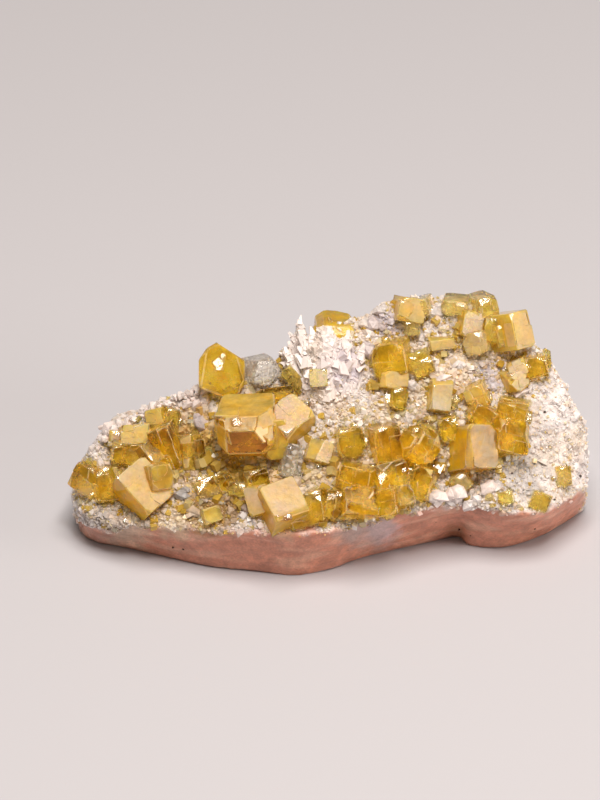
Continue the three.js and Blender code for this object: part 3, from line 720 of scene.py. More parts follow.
grow("fluorite_crest_patch", pale_glass, [
    ((-0.8, 19.0), (1.7, 1.7, 1.1), (4, -8, 3), 0.4, CREAM_IVORY, {"frost": 0.9, "young": 0}),
])
grow("fluorite_olive", golden_glass, [
    ((-4.8, 17.2), (4.0, 1.5, 2.2), (-4, 6, 8), 0.5, OLIVE_GLASS, {"worn": 0.4}),
    ((-3.1, 18.9), (1.3, 2.8, 1.6), (6, -8, 42), 0.7, OLIVE_GLASS, {"steps": 0, "cloud": 0.3}),
])
grow("fluorite_beige", pale_glass, [
    ((-0.8, 11.9), (2.3, 2.1, 1.4), (-20, 10, -20), 0.5, STRAW, {"frost": 0.9, "worn": 0.5}),
])
grow("fluorite_streak", pale_glass, [
    ((10.9, 22.3), (2.4, 1.0, 1.2), (18, 6, 7), 0.4, LEMON, {"frost": 0.8}),
])
grow("fluorite_right_high", golden_glass, [
    ((18.0, 18.7), (2.0, 1.9, 1.7), (10, 18, 14), 0.7, IVORY, {"frost": 0.8, "worn": 0.5}),
    ((18.2, 20.0), (1.9, 1.5, 1.8), (6, -12, 24), 0.8, IVORY, {"frost": 0.8, "worn": 0.4}),
    ((20.0, 20.1), (2.0, 1.9, 1.6), (8, -9, 9), 0.6, HONEY),
    ((19.1, 19.8), (1.2, 1.5, 1.5), (4, 6, 10), 0.6, HONEY),
])

# ---- the grey quartz ----
# Two stout quartz crystals with blunt points, clear grey and full of bubbles and fine flaws. They are
# rooted in the stone between the fluorite.
GREY_GLASS = (0.96, 0.92, 0.86, 1)
FLAW_COLOUR = (0.80, 0.73, 0.64, 1)
SMOKY = (0.86, 0.80, 0.70, 1)
QUARTZ_IOR = 1.544
BUBBLE_SIZE = 0.32
# The faces of the point: direction, and distance as a share of the crystal's half length.
QUARTZ_POINT = [
    ((0.87, 0.5, 0.2), 0.92),
    ((-0.87, 0.5, 0.2), 0.95),
    ((0, 0.5, 0.87), 0.98),
    ((0.5, -0.3, 0.8), 1.0),
]
# Each crystal's node and material, bubble depth, smoke density, place, size, turn and lift.
QUARTZ_CRYSTALS = [
    ("quartz_knob", "clear_quartz", 0.1, 40, (-6.1, 19.7), (3.0, 2.3, 2.4), (10, 20, 12), 0.4),
    ("quartz_grey", "smoky_quartz", 0.03, 900, (-3.5, 11.1), (1.9, 3.0, 1.8), (0, 15, -8), 0.5),
]


def quartz_glass(name, bubble_depth, density):
    glass = Finish(name, IOR=QUARTZ_IOR, Roughness=0.08)
    bubbles = glass.node("TexVoronoi", Vector=glass.place, Scale=1 / (BUBBLE_SIZE * MM), Randomness=1.0)
    flaws = glass.spread(glass.grain(0.35, 5.0), 0.5, 0.62)
    glass.drive("Base Color", glass.mixed(flaws, GREY_GLASS, FLAW_COLOUR))
    glass.drive("Transmission Weight", glass.spread(flaws, 0.0, 1.0, 0.9, 0.4))
    glass.bump(bubbles.outputs["Distance"], bubble_depth)
    smoke = glass.node("VolumeAbsorption", Color=SMOKY, Density=density)
    glass.feed(smoke.outputs["Volume"], glass.tree.nodes["Material Output"].inputs["Volume"])
    return glass


for node, name, bubble_depth, density, at, size, turn, lift in QUARTZ_CRYSTALS:
    grey_glass = quartz_glass(name, bubble_depth, density)
    facets = [(direction, distance * max(size) / 2) for direction, distance in QUARTZ_POINT]
    bodies = crystal(at, size, turn, lift, worn=0.35, facets=facets, steps=4, young=0)
    grown.append(add_piece(node + "_crystal", grown_together(bodies), grey_glass, "quartz", node))


# ---- the stone's skin ----
# The stone's sloping face is a rough bed of grains that closes smoothly round the crystals' roots. Inside
# the crystals it is painted smooth pale cream, painted light for what shines in through them. The broken
# front below it is smooth and waxy, its mauve-pink partly its own and partly painted pink reflected light,
# and the back is plain fracture.
STONE_GRAIN = 0.25
WHITE = (0.84, 0.76, 0.74)
CREAM = (0.76, 0.60, 0.40)
LILAC = (0.58, 0.52, 0.60)
GREY = (0.42, 0.39, 0.38)
# The front's mauve-pink is partly its own colour and partly painted pink reflected light.
MAUVE = (0.61, 0.255, 0.165)
ROSE_LIGHT = (0.74, 0.40, 0.275)
BROWN = (0.22, 0.10, 0.02)
OLIVE = (0.36, 0.24, 0.04)
GOLD_CRUST = (0.60, 0.34, 0.045)
DARK_CRUST = (0.24, 0.15, 0.03)
BROWN_CRUST = (0.42, 0.25, 0.08)
UMBER_CRUST = (0.32, 0.17, 0.035)
BEIGE = (0.66, 0.50, 0.36)
# Painted light: the pale cream of the stone seen inside the crystals, for the light that comes in through
# them.
PAINTED_LIGHT_SEAT = (0.88, 0.80, 0.60)
# The edge between the face and the smooth front, and the crest: x, y and z, with y from the foremost point.
LIP = [(-24.1, 6.6, 1.6), (-22, 2.9, 2.9), (-18.6, 1.6, 4.3), (-16.2, 0.9, 5.1), (-11.4, -0.3, 5.6)]
LIP += [(-6.6, -1.3, 6.0), (-3.2, -1.7, 6.2), (3, -0.6, 6.5), (10.6, 1.6, 7.2), (13.6, 2.6, 6.8)]
LIP += [(20.4, 2.4, 5.8), (24.8, 7.6, 4.6)]
CREST = [(-24.1, 8.2, 5.4), (-22, 9.4, 8.4), (-16.2, 12.2, 11.4), (-6.6, 13.2, 13.9), (-3.2, 13.8, 14.8)]
CREST += [(0.2, 15.2, 18), (6.6, 17.6, 19.8), (13.6, 17.4, 20.2), (20.4, 14.2, 16.7), (24.8, 10.6, 9.2)]
# Stains and bare patches, and one patch of painted shade: across and up the face, radius, colour and
# strength.
PATCHES = [
    # Painted shade: a dark brown spot where the stone has a small pit that is not modelled.
    (-8.6, 6.9, 1.3, BROWN, 0.9),
    (11.2, 10.8, 1.7, BROWN, 0.75),
    (-11.4, 12.1, 1.5, BROWN, 0.9),
    (-8.2, 9.9, 2.4, DARK_CRUST, 0.95),
    (-13.5, 10.2, 1.6, BROWN, 0.95),
    (-4.7, 10.7, 1.2, BROWN, 0.8),
    (-12.4, 15.9, 1.9, BROWN, 0.35),
    (-11.0, 14.0, 4.0, CREAM, 0.7),
    (-6.0, 16.6, 2.2, OLIVE, 0.6),
    (-2.0, 9.0, 3.5, CREAM, 0.7),
    (3.5, 11.0, 4.0, CREAM, 0.5),
    (8.5, 17.5, 4.5, CREAM, 0.55),
    (11.5, 12.5, 3.0, CREAM, 0.5),
    (14.5, 21.0, 3.5, CREAM, 0.5),
    (18.3, 9.9, 3.4, GREY, 0.6),
    (15.4, 19.0, 2.2, LILAC, 0.8),
    (1.9, 20.2, 2.2, LILAC, 1.0),
    (5.6, 24.2, 2.0, LILAC, 0.8),
    (-20.5, 5.6, 3.8, GREY, 0.4),
    (-12.5, 7.2, 2.4, GREY, 0.5),
    (2.0, 4.9, 2.4, GREY, 0.45),
    (5.2, 4.6, 2.2, LILAC, 0.5),
    (12.6, 4.0, 1.6, BROWN, 0.35),
    (-12.6, 13.4, 3.6, GOLD_CRUST, 0.85),
    (-9.8, 10.6, 4.0, GOLD_CRUST, 0.9),
    (-12.0, 7.6, 3.4, GOLD_CRUST, 0.5),
    (-5.0, 8.6, 3.0, GOLD_CRUST, 0.7),
    (1.6, 10.8, 3.0, GOLD_CRUST, 0.5),
    (-18.6, 11.0, 3.0, GOLD_CRUST, 0.6),
    (11.5, 18.8, 3.0, GOLD_CRUST, 0.3),
    (14.5, 10.2, 1.8, GOLD_CRUST, 0.4),
    (11.3, 7.8, 1.8, WHITE, 0.9),
    (13.0, 22.0, 2.6, CREAM, 0.5),
    (3.8, 4.6, 3.0, GREY, 0.35),
    (-9.6, 9.4, 3.4, OLIVE, 0.45),
    (-3.0, 9.2, 2.0, BROWN, 0.4),
    (9.6, 15.6, 1.5, BROWN, 0.4),
    (5.0, 15.0, 2.4, CREAM, 0.6),
    (-10.7, 6.2, 3.0, UMBER_CRUST, 0.95),
    (-14.6, 5.6, 2.6, CREAM, 0.7),
    (-12.2, 5.9, 2.4, BROWN_CRUST, 0.8),
    (-19.0, 5.0, 3.0, BEIGE, 0.6),
    (-4.0, 5.2, 2.0, CREAM, 0.5),
    (1.0, 16.0, 2.0, GOLD_CRUST, 0.25),
]


def line_at(line, x):
    stations = np.array(line)
    return np.interp(x, stations[:, 0], stations[:, 1]), np.interp(x, stations[:, 0], stations[:, 2])


def eased(low, high, value):
    share = min(max((value - low) / (high - low), 0.0), 1.0)
    return share * share * (3 - 2 * share)


def lumps(point, size, shift=0.0):
    return noise.noise(point / size + Vector((shift, shift, shift)))


def pebbles(point, size):
    """1 at the middle of a grain of about that size and 0 between the grains."""
    return 1 - min(1.0, 1.35 * noise.voronoi(point / size)[0][0])


def regions(point, normal):
    """How much of the smooth front and of the crystal face there is at a point of the stone."""
    x, y = point.x + MIDDLE.x, point.y + MIDDLE.y
    lip_height = line_at(LIP, x)[1]
    crest_back = line_at(CREST, x)[0]
    lip_height += 0.7 * lumps(point, 1.5, 3.0)
    front = eased(0.35, -0.35, point.z - lip_height)
    front *= eased(1.6, -1.6, y - crest_back + 0.8 + 1.6 * lumps(point, 1.8, 5.0))
    face = (1 - front) * eased(-0.5, 0.0, normal.dot(OUT)) * eased(2.2, 0.4, y - crest_back)
    return front, face


def stone_colour(point, front, face):
    at = face_coordinates(point)
    colour = blended(WHITE, CREAM, 0.35 * eased(-0.2, 0.5, lumps(point, 2.6, 4.0)))
    along = Vector((point.x / 4.0, point.y, point.z))
    streaked = blended(MAUVE, ROSE_LIGHT, eased(0.0, 0.5, lumps(along, 1.1, 7.0)) * 0.7)
    colour = blended(colour, streaked, front)
    for across, up, radius, stain, strength in PATCHES:
        ragged = 1 + 0.5 * lumps(point, 0.9, across)
        near = math.hypot(at.x - across, at.y - up) / (radius * ragged)
        share = strength * eased(1.0, 0.35, near) * max(face, front)
        colour = blended(colour, stain, share)
    return colour


roots = bmesh.new()
for piece in grown:
    roots.from_mesh(piece.data)
bmesh.ops.scale(roots, vec=TO_MM, verts=roots.verts)
roots_tree = BVHTree.FromBMesh(roots)
roots.free()


def under_crystal(point):
    """True for a point inside a crystal."""
    hit, normal, *_ = roots_tree.ray_cast(point, OUT)
    return hit is not None and normal.dot(OUT) > 0


def near_crystal(point, reach):
    """1 at a crystal's surface, falling to 0 at some reach from it."""
    distance = roots_tree.find_nearest(point)[3]
    return max(0.0, 1 - distance / reach)


coarse = finished(chunk, ("REMESH", {"mode": "VOXEL", "voxel_size": STONE_GRAIN, "adaptivity": 0.0}))

skin = bmesh.new()
skin.from_mesh(coarse)
every_way = {"use_axis_x": True, "use_axis_y": True, "use_axis_z": True}
for _ in range(3):
    bmesh.ops.smooth_vert(skin, verts=skin.verts, factor=0.5, **every_way)
skin.normal_update()
shade = skin.verts.layers.float_color.new("shade")
rough = skin.verts.layers.float.new("grainy")
bed = skin.verts.layers.float.new("bed")
nearness = skin.verts.layers.float.new("nearness")
for vertex in skin.verts:
    point = vertex.co.copy()
    front, face = regions(point, vertex.normal)
    vertex[shade] = (*stone_colour(point, front, face), 1)
    vertex[rough] = 1 - front
    back = 1 - front - face
    vertex[bed] = face * (point.z > 0.7)
    vertex[nearness] = near_crystal(point, 2.2)
    # Inside a crystal the stone is painted pale cream and left smooth: painted light for what shines in
    # through the crystal.
    if under_crystal(point + vertex.normal * 0.1):
        vertex[shade] = (*PAINTED_LIGHT_SEAT, 1)
        vertex[rough] = 0.0
        continue
    rise = face * (0.26 * lumps(point, 1.3) + 0.22 * pebbles(point, 0.7) - 0.10)
    cleft = abs(lumps(point, 2.6, 9.0)) + 0.5 * abs(lumps(point, 1.1, 2.0))
    rise += back * (0.30 * lumps(point, 2.2) + 0.14 * pebbles(point, 1.1) + 0.5 * min(cleft, 0.3) - 0.16)
    along = Vector((point.x / 3.0, point.y, point.z * 1.6))
    rise += front * (0.13 * lumps(along, 1.9) + 0.07 * lumps(along, 0.7) + 0.02 * lumps(point, 0.4))
    rise *= eased(0.0, 0.6, point.z)
    vertex.co = point + vertex.normal * rise
    vertex.co.z = max(vertex.co.z, 0.0)
stone_mesh = bpy.data.meshes.new("stone")
skin.to_mesh(stone_mesh)
skin.free()
stone_mesh.shade_smooth()

stone_finish = Finish("granular_quartz", glow=(0.3, 0.0008, (1.0, 0.7, 0.6)))
cloudy = stone_finish.spread(stone_finish.grain(1.1, 5.0), 0.3, 0.7, 0.72, 1.18)
speckled = stone_finish.spread(stone_finish.grain(0.22, 2.0), 0.25, 0.75, 0.82, 1.16)
tone = stone_finish.product(cloudy, speckled)
painted_stone = stone_finish.painted("shade", "Color")
stone_finish.drive("Base Color", stone_finish.mixed(1.0, painted_stone, tone, "MULTIPLY"))
grainy = stone_finish.painted("grainy")
stone_finish.bump(stone_finish.product(stone_finish.grain(0.28, 4.0), grainy), 0.16)
stone_finish.drive("Roughness", stone_finish.spread(grainy, 0.0, 1.0, 0.38, 0.7))
add_piece("stone", stone_mesh, stone_finish, "stone", "matrix")

# ---- the quartz sugar ----
# Quartz sugar coats the face between the crystals. It is thousands of tiny clear and milky quartz grains
# with bright facets, each grown by itself on the stone.
SUGAR_COUNT = 21000
SUGAR_KINDS = ["cube", "stub", "chip", "chip", "splinter"]
STRAW_GRAIN = (0.80, 0.58, 0.20)
STRAW_SHARE = 0.12
LOWEST_GRAIN = 0.7
EVENLY = (1.0, 1.0, 1.0)


def any_three(luck, low, high):
    return [luck.uniform(low, high) for _ in range(3)]


def any_turn(luck):
    return Euler(any_three(luck, 0, 2 * math.pi))


def grain_size(least=0.12, rate=10.5, most=0.7):
    """A random size: most grains are little larger than the least."""
    return min(least + luck.expovariate(rate), most)


def whitened(colour, share):
    """Nearer to white, except where the stone is deeply stained."""
    return blended(colour, WHITE, share * min(1.0, colour[2] / 0.55))


def brightened(colour, bright, most):
    return [min(value * bright, most) for value in colour]


def plain_form(made):
    """A small form as arrays of its points and of its triangles' corners."""
    bmesh.ops.triangulate(made, faces=made.faces[:])
    made.verts.index_update()
    points = np.array([vertex.co[:] for vertex in made.verts])
    corners = np.array([[vertex.index for vertex in face.verts] for face in made.faces])
    made.free()
    return points, corners


def little(kind, luck):
    """A grain's form, about 1 across."""
    made = bmesh.new()
    if kind == "cube":
        bmesh.ops.create_cube(made, size=0.9)
    if kind == "stub":
        bmesh.ops.create_cone(made, cap_ends=True, segments=4, radius1=0.5, radius2=0.2, depth=1.0)
    if kind == "chip":
        bmesh.ops.create_uvsphere(made, u_segments=4, v_segments=2, radius=0.55)
    if kind == "splinter":
        bmesh.ops.create_cone(made, cap_ends=True, segments=4, radius1=0.24, radius2=0.04, depth=1.5)
    for vertex in made.verts:
        vertex.co += Vector(any_three(luck, -0.09, 0.09))
    return plain_form(made)


def scattered(name, forms, places):
    """Joins small forms into one mesh. A place is its form, its centre, turn, size and colour."""
    points, corners, colours, count = [], [], [], 0
    for form, centre, turn, size, colour in places:
        shape, faces = forms[form]
        turned = (shape * np.array(size)) @ np.array(turn.to_matrix()).T + np.array(centre)
        points.append(turned)
        corners.append(faces + count)
        colours.append(np.tile((*colour, 1.0), (len(shape), 1)))
        count += len(shape)
    points, corners, colours = np.vstack(points), np.vstack(corners), np.vstack(colours)
    mesh = bpy.data.meshes.new(name)
    mesh.from_pydata(points, [], corners.tolist())
    mesh.attributes.new("shade", "FLOAT_COLOR", "POINT").data.foreach_set("color", colours.ravel())
    return mesh


def held(items, what, width, kind=float):
    """One attribute of all of a mesh's items, as an array with a row for each."""
    values = np.zeros(len(items) * width, kind)
    items.foreach_get(what, values)
    return values.reshape(-1, width)


class Ground:
    """The stone's skin as triangles, to pick random places on."""

    def __init__(self, mesh):
        mesh.calc_loop_triangles()
        self.corners = held(mesh.loop_triangles, "vertices", 3, int)
        self.points = held(mesh.vertices, "co", 3) / MM
        self.shades = held(mesh.attributes["shade"].data, "color", 4)[:, :3]
        first, second, third = (self.points[self.corners[:, k]] for k in range(3))
        crossed = np.cross(second - first, third - first)
        self.areas = np.linalg.norm(crossed, axis=1)
        self.normals = crossed / self.areas[:, None]
        spot = (first + np.array(MIDDLE)) @ np.array(FACE_TURN)
        self.across, self.up = spot[:, 0], spot[:, 1]
        self.bed, self.near, self.rough = (
            held(mesh.attributes[name].data, "value", 1)[self.corners[:, 0], 0]
            for name in ("bed", "nearness", "grainy")
        )

    def within(self, across, up, wide, high):
        """1 inside an oval on the face and 0 outside it."""
        away = np.hypot((self.across - across) / wide, (self.up - up) / high)
        return np.clip(2 - 1.6 * away, 0, 1)

    def places(self, count, seed, wanted):
        """Points, normals and colours at random places, where wanted says how likely each triangle is."""
        weights = wanted * self.areas
        pick = np.random.RandomState(seed).choice(len(weights), count, p=weights / weights.sum())
        shares = np.random.RandomState(seed + 1).dirichlet((1, 1, 1), count)
        corners = self.corners[pick]
        at = sum(self.points[corners[:, k]] * shares[:, k, None] for k in range(3))
        for point, normal, colour in zip(at, self.normals[pick], self.shades[corners[:, 0]]):
            yield Vector(point), Vector(normal), tuple(colour)


def strewn(count, seed, wanted, size_of, sink, lowest=LOWEST_GRAIN):
    """Random places for grains on the stone, outside the crystals: centre, size and the colour of the stone
    there. sink is the least and the most that a centre stands out of it, as a share of the grain's size."""
    for at, normal, shade_here in ground.places(count, seed, wanted):
        size = size_of()
        centre = at + normal * size * luck.uniform(*sink)
        if centre.z >= lowest and not under_crystal(centre):
            yield centre, size, shade_here


def painted_finish(name, **constants):
    """A material whose colour is what the piece's own shade says."""
    made = Finish(name, **constants)
    made.drive("Base Color", made.painted("shade", "Color"))
    return made


ground = Ground(stone_mesh)
luck = random.Random(11)
grain_forms = [little(kind, luck) for kind in SUGAR_KINDS]
right_end = ground.within(21, 10, 5, 12)
where = ground.bed * (1 - 0.6 * right_end) + 0.02 * ground.rough**4
sugar = []
for centre, size, shade_here in strewn(SUGAR_COUNT, 5, where, grain_size, (-0.05, 0.35)):
    bright = luck.uniform(0.9, 1.15)
    colour = whitened(shade_here, luck.uniform(0.0, 0.45))
    if luck.random() < STRAW_SHARE:
        colour = blended(colour, STRAW_GRAIN, 0.6)
    colour = brightened(colour, bright, 0.92)
    sugar.append((luck.randrange(len(grain_forms)), centre, any_turn(luck), size, colour))
sugar_finish = painted_finish("quartz_sugar", glow=(0.5, 0.0005, EVENLY), Roughness=0.22, IOR=QUARTZ_IOR)
add_piece("quartz_sugar", scattered("quartz_sugar", grain_forms, sugar), sugar_finish, "stone")

# ---- the milky lumps ----
# Lumps of milky quartz and calcite, half sunk in the crust. Each grew as a knot of rounded knobs. A row of
# small ones follows the ridge behind the left crystals.
SNOW = (0.93, 0.79, 0.75)
SMOKE = (0.64, 0.55, 0.55)
FORMS = 8
KNOBS = 5
LUMP_COUNT = 650
RIDGE_COUNT = 110
# Across, up, height above the stone, size and colour.
BIG_LUMPS = [
    (-20.9, 13.9, 0.7, (1.4, 1.6, 1.5), SNOW),
    (-8.4, 8.6, 0.3, (0.8, 0.7, 0.8), SNOW),
    (-11.7, 8.0, 0.2, (0.9, 0.8, 0.8), SNOW),
    (-14.0, 8.0, 0.2, (1.5, 1.2, 1.0), GREY),
    (-14.9, 14.2, 1.2, (0.7, 0.6, 0.7), SNOW),
    (-14.2, 5.7, 0.1, (0.9, 0.7, 0.6), CREAM),
    (-12.5, 6.2, 0.1, (1.4, 1.0, 0.8), BEIGE),
    (-7.0, 8.4, 0.2, (0.8, 0.7, 0.8), WHITE),
    (-1.3, 9.7, 0.2, (1.2, 1.0, 0.9), CREAM),
    (10.2, 7.5, 0.5, (1.9, 1.6, 1.5), SNOW),
    (12.3, 7.8, 0.6, (1.6, 2.1, 1.6), SNOW),
    (13.9, 7.1, 0.2, (1.3, 1.2, 1.0), WHITE),
    (15.6, 8.6, 0.2, (1.6, 1.3, 1.1), SNOW),
    (8.2, 18.1, 0.2, (1.2, 1.0, 0.9), WHITE),
    (10.9, 18.7, 0.8, (2.0, 0.9, 1.0), SNOW),
    (16.7, 21.8, 0.3, (0.9, 0.8, 0.8), SNOW),
    (18.6, 18.0, 0.3, (1.4, 1.2, 1.0), SNOW),
    (12.4, 20.4, 0.2, (1.3, 1.0, 0.9), WHITE),
    (5.4, 25.4, 0.2, (1.4, 1.2, 1.0), WHITE),
    (4.4, 23.9, 0.2, (1.6, 1.3, 1.0), SMOKE),
    (3.8, 21.6, 0.3, (1.5, 1.6, 1.2), SMOKE),
    (10.4, 25.4, 0.2, (1.3, 1.2, 1.0), WHITE),
    (-13.2, 16.6, 0.3, (1.4, 1.2, 1.0), SNOW),
    (-11.9, 17.0, 0.4, (1.3, 1.5, 1.1), SNOW),
    (-12.3, 14.8, 0.2, (1.5, 1.3, 1.1), SMOKE),
]
# The way the ridge runs, across and up.
RIDGE = [(-22.0, 12.3), (-21.5, 13.8), (-20.5, 14.3), (-18.8, 15.0), (-17.0, 16.0)]
RIDGE += [(-15.9, 16.5), (-13.1, 17.7), (-12.4, 18.0), (-10.9, 18.0)]

lump_forms = []
for _ in range(FORMS):
    lump = bmesh.new()
    bmesh.ops.create_icosphere(lump, subdivisions=1, radius=0.56)
    for vertex in lump.verts:
        vertex.co *= luck.uniform(0.62, 1.3)
    lump_forms.append(plain_form(lump))

milky = []
for across, up, rise, size, colour in BIG_LUMPS:
    for knob in range(KNOBS):
        spot = (across + luck.gauss(0, 0.22) * size[0], up + luck.gauss(0, 0.22) * size[1])
        centre = on_face(*spot, seat_height(*spot) + rise * luck.uniform(0.5, 1.1))
        reach = Vector(size) * (1.0 if knob == 0 else luck.uniform(0.4, 0.75))
        turn = (FACE_TURN @ Euler(astray(luck, 0.3)).to_matrix()).to_euler()
        colour_here = brightened(colour, luck.uniform(0.92, 1.02), 0.96)
        milky.append((luck.randrange(FORMS), centre, turn, reach, colour_here))
for _ in range(RIDGE_COUNT):
    across = luck.uniform(RIDGE[0][0], RIDGE[-1][0])
    up = np.interp(across, [x for x, _ in RIDGE], [y for _, y in RIDGE]) + luck.gauss(-0.1, 0.15)
    centre = on_face(across, up, seat_height(across, up) + luck.uniform(-0.3, 0.6))
    size = Vector(any_three(luck, 0.3, 0.95))
    milky.append((luck.randrange(FORMS), centre, any_turn(luck), size, blended(SNOW, WHITE, luck.random())))


def lump_size():
    return luck.uniform(0.5, 0.8) + luck.expovariate(5.0)


where = ground.bed**6 * (1 - 0.7 * right_end)
for centre, size, shade_here in strewn(LUMP_COUNT, 41, where, lump_size, (-0.15, 0.1), 0.9):
    colour = whitened(shade_here, luck.uniform(0.0, 0.35))
    reach = Vector([luck.uniform(0.6, 1.1) * min(size, 1.3) for _ in range(3)])
    milky.append((luck.randrange(FORMS), centre, any_turn(luck), reach, colour))

milky_finish = Finish("milky_quartz", glow=(0.35, 0.0006, EVENLY), Roughness=0.3, IOR=QUARTZ_IOR)
cloudy = milky_finish.spread(milky_finish.grain(0.4, 4.0), 0.3, 0.7, 0.8, 1.1)
painted_lumps = milky_finish.painted("shade", "Color")
milky_finish.drive("Base Color", milky_finish.mixed(1.0, painted_lumps, cloudy, "MULTIPLY"))
milky_finish.bump(milky_finish.grain(0.3, 4.0), 0.12)
add_piece("quartz_lumps", scattered("quartz_lumps", lump_forms, milky), milky_finish, "stone")

# ---- the dull grains ----
# Stained quartz grains, beige, golden, olive and brown, weathered dull. They gather round the crystals'
# roots, and a few dark specks lie among them.
DULL_COUNT = 22000
STAINS = (BEIGE, BEIGE, CREAM, CREAM, GOLD_CRUST, GOLD_CRUST, OLIVE, BROWN)
SPECK_COUNT = 170
DARK_SPECK = (0.05, 0.03, 0.02)

dull = []
where = ground.bed * (1 - 0.8 * right_end) * (0.3 + ground.near)
for centre, size, shade_here in strewn(DULL_COUNT, 17, where, grain_size, (-0.2, 0.2)):
    stain = luck.choice(STAINS)
    bright = luck.uniform(0.8, 1.15)
    colour = brightened(blended(shade_here, stain, luck.uniform(0.2, 0.7)), bright, 0.9)
    dull.append((luck.randrange(len(grain_forms)), centre, any_turn(luck), size, colour))
where = ground.bed + 0.12 * (1 - ground.rough) * (ground.bed < 0.5)
for at, normal, _ in ground.places(SPECK_COUNT, 53, where):
    size = luck.uniform(0.1, 0.24)
    centre = at + normal * 0.3 * size
    if at.z > 1.2 and not under_crystal(at + normal * size):
        dull.append((luck.randrange(len(grain_forms)), centre, any_turn(luck), size, DARK_SPECK))
dull_finish = painted_finish("dull_grains", Roughness=0.45)
add_piece("dull_grains", scattered("dull_grains", grain_forms, dull), dull_finish, "stone")

# ---- the fluorite crumbs ----
# Small chipped cubes of the same clear yellow fluorite, grown in bunches round the feet of the larger
# crystals. They thin out towards the bare right end and under the crest.
CRUMB_COUNT = 3400
CRUMB_TINTS = [(0.95, 0.68, 0.16), (0.96, 0.78, 0.34), (0.92, 0.62, 0.10)]
CRUMB_TINTS += [(0.96, 0.84, 0.54), (0.96, 0.88, 0.70)]
# Bunches of larger ones: across, up and size.
BUNCHES = [(-12.2, 10.6, 0.9), (-11.0, 9.6, 1.1), (-10.2, 10.1, 0.9), (-9.6, 9.1, 1.0)]
BUNCHES += [(-10.4, 7.4, 0.9), (-7.1, 9.8, 1.2), (-6.3, 10.1, 1.0), (-2.0, 10.5, 0.9), (0.2, 10.3, 1.1)]
BUNCHES += [(-0.7, 8.3, 1.3), (0.5, 8.3, 1.3), (0.9, 6.7, 1.0), (-14.3, 9.9, 1.0), (-12.6, 12.4, 1.1)]
BUNCHES += [(-11.6, 11.2, 1.2), (-13.6, 6.6, 0.9), (11.0, 21.0, 1.0), (12.4, 22.9, 0.9), (4.6, 17.9, 1.0)]
BUNCHES += [(7.6, 11.0, 0.8), (10.6, 10.6, 1.1), (16.2, 11.0, 0.9), (13.2, 10.6, 1.0), (9.6, 14.9, 0.9)]

crumb_forms = []
for _ in range(FORMS):
    crumb = block((0.9, luck.uniform(0.7, 1.0), luck.uniform(0.7, 1.0)), (0, 0, 0), 0.12, 0.02, (), luck)
    bmesh.ops.dissolve_limit(crumb, angle_limit=math.radians(25), verts=crumb.verts[:], edges=crumb.edges[:])
    crumb_forms.append(plain_form(crumb))

crumbs = []
bare = np.maximum(ground.within(21.5, 10, 4, 12), ground.within(-0.6, 19.9, 3.4, 3.0))
where = (ground.bed > 0.8) * (0.02 + ground.near**2) * (1 - 0.95 * bare)
for centre, size, _ in strewn(CRUMB_COUNT, 23, where, lambda: grain_size(0.2, 8.0, 0.8), (-0.15, 0.2), 0.9):
    crumbs.append((luck.randrange(FORMS), centre, any_turn(luck), size, luck.choice(CRUMB_TINTS)))
for across, up, size in BUNCHES:
    for _ in range(3):
        spot = (across + luck.gauss(0, 0.3), up + luck.gauss(0, 0.3))
        centre = on_face(*spot, seat_height(*spot) + luck.uniform(0.0, 0.35) * size)
        small = size * luck.uniform(0.6, 1.0)
        crumbs.append((luck.randrange(FORMS), centre, any_turn(luck), small, luck.choice(CRUMB_TINTS[:3])))
crumb_glass = painted_finish("fluorite_crumbs", IOR=FLUORITE_IOR, Roughness=0.1, Transmission_Weight=0.6)
add_piece("fluorite_crumbs", scattered("fluorite_crumbs", crumb_forms, crumbs), crumb_glass, "fluorite")

# ---- the calcite crest ----
# A jagged mass of white calcite that grew over the ridge: fans of thin pointed blades that stand up off it,
# with flakes and splinters round their feet.
CALCITE = (0.96, 0.86, 0.83)
CALCITE_IOR = 1.55
# Each fan's root across and up, its lean to the left in degrees, its length and its width.
CREST_FANS = [
    (-1.6, 18.6, 10, 6.3, 1.7),
    (-2.2, 18.4, 30, 3.9, 1.9),
    (-1.1, 18.8, 4, 4.9, 2.2),
    (0.3, 19.4, 2, 4.3, 2.6),
    (-2.6, 20.6, 68, 2.1, 0.9),
    (-2.3, 21.3, 34, 2.4, 0.9),
    (1.4, 19.5, -8, 3.9, 2.2),
    (-2.6, 19.0, 50, 2.3, 1.2),
    (2.6, 19.3, -18, 3.0, 1.8),
]
# How far along a fan its pointed tips stand.
TIPS = (0.72, 0.8, 0.88, 0.95)
BLADE_FORMS = 10
FLAKE_COUNT = 420
SPLINTER_COUNT = 1500

shard_forms = []
for _ in range(BLADE_FORMS):
    blade = bmesh.new()
    bmesh.ops.create_cube(blade, size=1)
    shift = luck.uniform(-0.3, 0.3)
    narrow = luck.uniform(0.2, 0.6)
    for vertex in blade.verts:
        if vertex.co.z > 0:
            vertex.co.x = vertex.co.x * narrow + shift
            vertex.co.y *= 0.6
        vertex.co += Vector(any_three(luck, -0.12, 0.12))
    shard_forms.append(plain_form(blade))
shard_forms += [little(kind, luck) for kind in ["splinter", "stub", "chip", "splinter"]]


def calcite_shade():
    return brightened(CALCITE, luck.uniform(0.96, 1.06), 0.98)


def upright(sway, spread):
    """The turn of a shard that grows up the face, swayed to one side."""
    lean = Euler([luck.gauss(0, spread), luck.gauss(0, spread), sway + luck.gauss(0, spread)]).to_matrix()
    return (FACE_TURN @ lean @ Matrix.Rotation(math.radians(-90), 3, "X")).to_euler()


def grown_along(way, spread):
    """The turn of a shard that grows along a way, more or less."""
    return (way + Vector(astray(luck, spread))).to_track_quat("Z", "Y").to_euler()


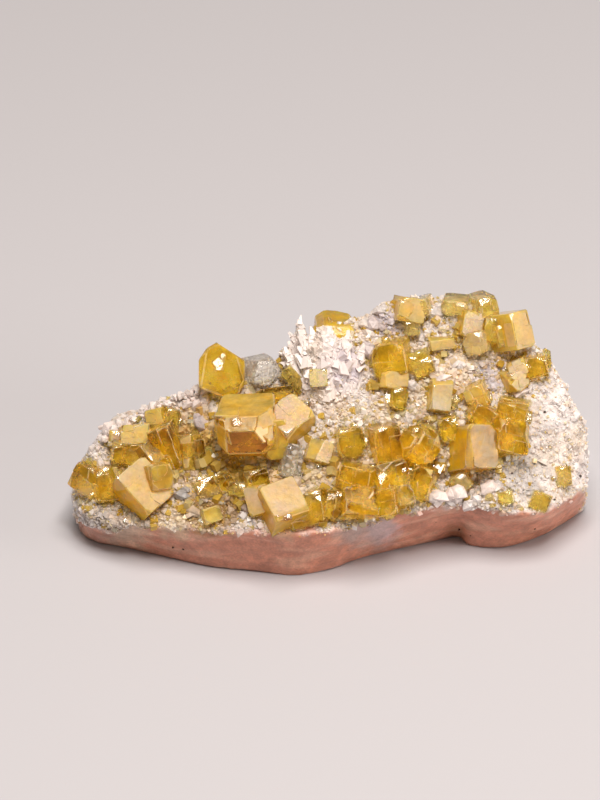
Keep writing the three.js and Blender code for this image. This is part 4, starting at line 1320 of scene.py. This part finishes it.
shards = []
for across, up, lean, length, width in CREST_FANS:
    root = seat_height(across, up)
    sway = math.radians(lean)
    way = Vector((-math.sin(sway), math.cos(sway)))
    for _ in range(int(9 * width * length**0.5)):
        along = luck.random() ** 0.8
        thin = width * (1 - along) ** 0.7
        side = luck.uniform(-0.4, 0.4)
        shard_across = across + way.x * along * length * 0.8 + side * thin * way.y
        shard_up = up + way.y * along * length * 0.8 - side * thin * way.x
        place = on_face(shard_across, shard_up, root + luck.uniform(-0.35, 0.3) * thin)
        long = luck.uniform(0.7, 1.3) * (0.5 + 0.17 * length * (1 - along))
        shape = (min(long * luck.uniform(0.5, 0.9), thin + 0.3), long * luck.uniform(0.35, 0.6), long)
        turn = upright(sway - side * 1.4, 0.2)
        colour = blended(calcite_shade(), SMOKE, 0.8 * (1 - along) * (across > 0))
        shards.append((luck.randrange(BLADE_FORMS), place, turn, shape, colour))
    for along in TIPS:
        tip = on_face(across + way.x * length * along, up + way.y * length * along, root)
        sharp = (0.3 * width * (1.2 - along) / 0.4 + 0.12, 0.4, 0.16 * length)
        shards.append((luck.randrange(BLADE_FORMS), tip, upright(sway, 0.17), sharp, CALCITE))
where = ground.bed * ground.within(-0.4, 20.2, 3.6, 3.2)
for at, normal, shade_here in ground.places(FLAKE_COUNT, 37, where):
    long = luck.uniform(0.6, 1.25)
    turn = grown_along(0.8 * normal + UP, 0.4)
    shape = (long * luck.uniform(0.6, 1.0), long * luck.uniform(0.5, 0.8), long)
    form = luck.randrange(BLADE_FORMS)
    shards.append((form, at, turn, shape, blended(calcite_shade(), shade_here, 0.75)))
where = ground.bed * ground.within(-0.6, 19.9, 3.8, 3.2)
for at, normal, shade_here in ground.places(SPLINTER_COUNT, 31, where):
    size = luck.uniform(0.2, 0.5)
    turn = grown_along(normal, 0.6)
    colour = blended(calcite_shade(), shade_here, luck.uniform(0.5, 1.0))
    form = luck.randrange(BLADE_FORMS, len(shard_forms))
    shards.append((form, at + normal * size * 0.3, turn, size, colour))
calcite_finish = painted_finish("calcite", glow=(0.2, 0.0004, EVENLY), Roughness=0.42, IOR=CALCITE_IOR)
add_piece("calcite_points", scattered("calcite_points", shard_forms, shards), calcite_finish, "stone")
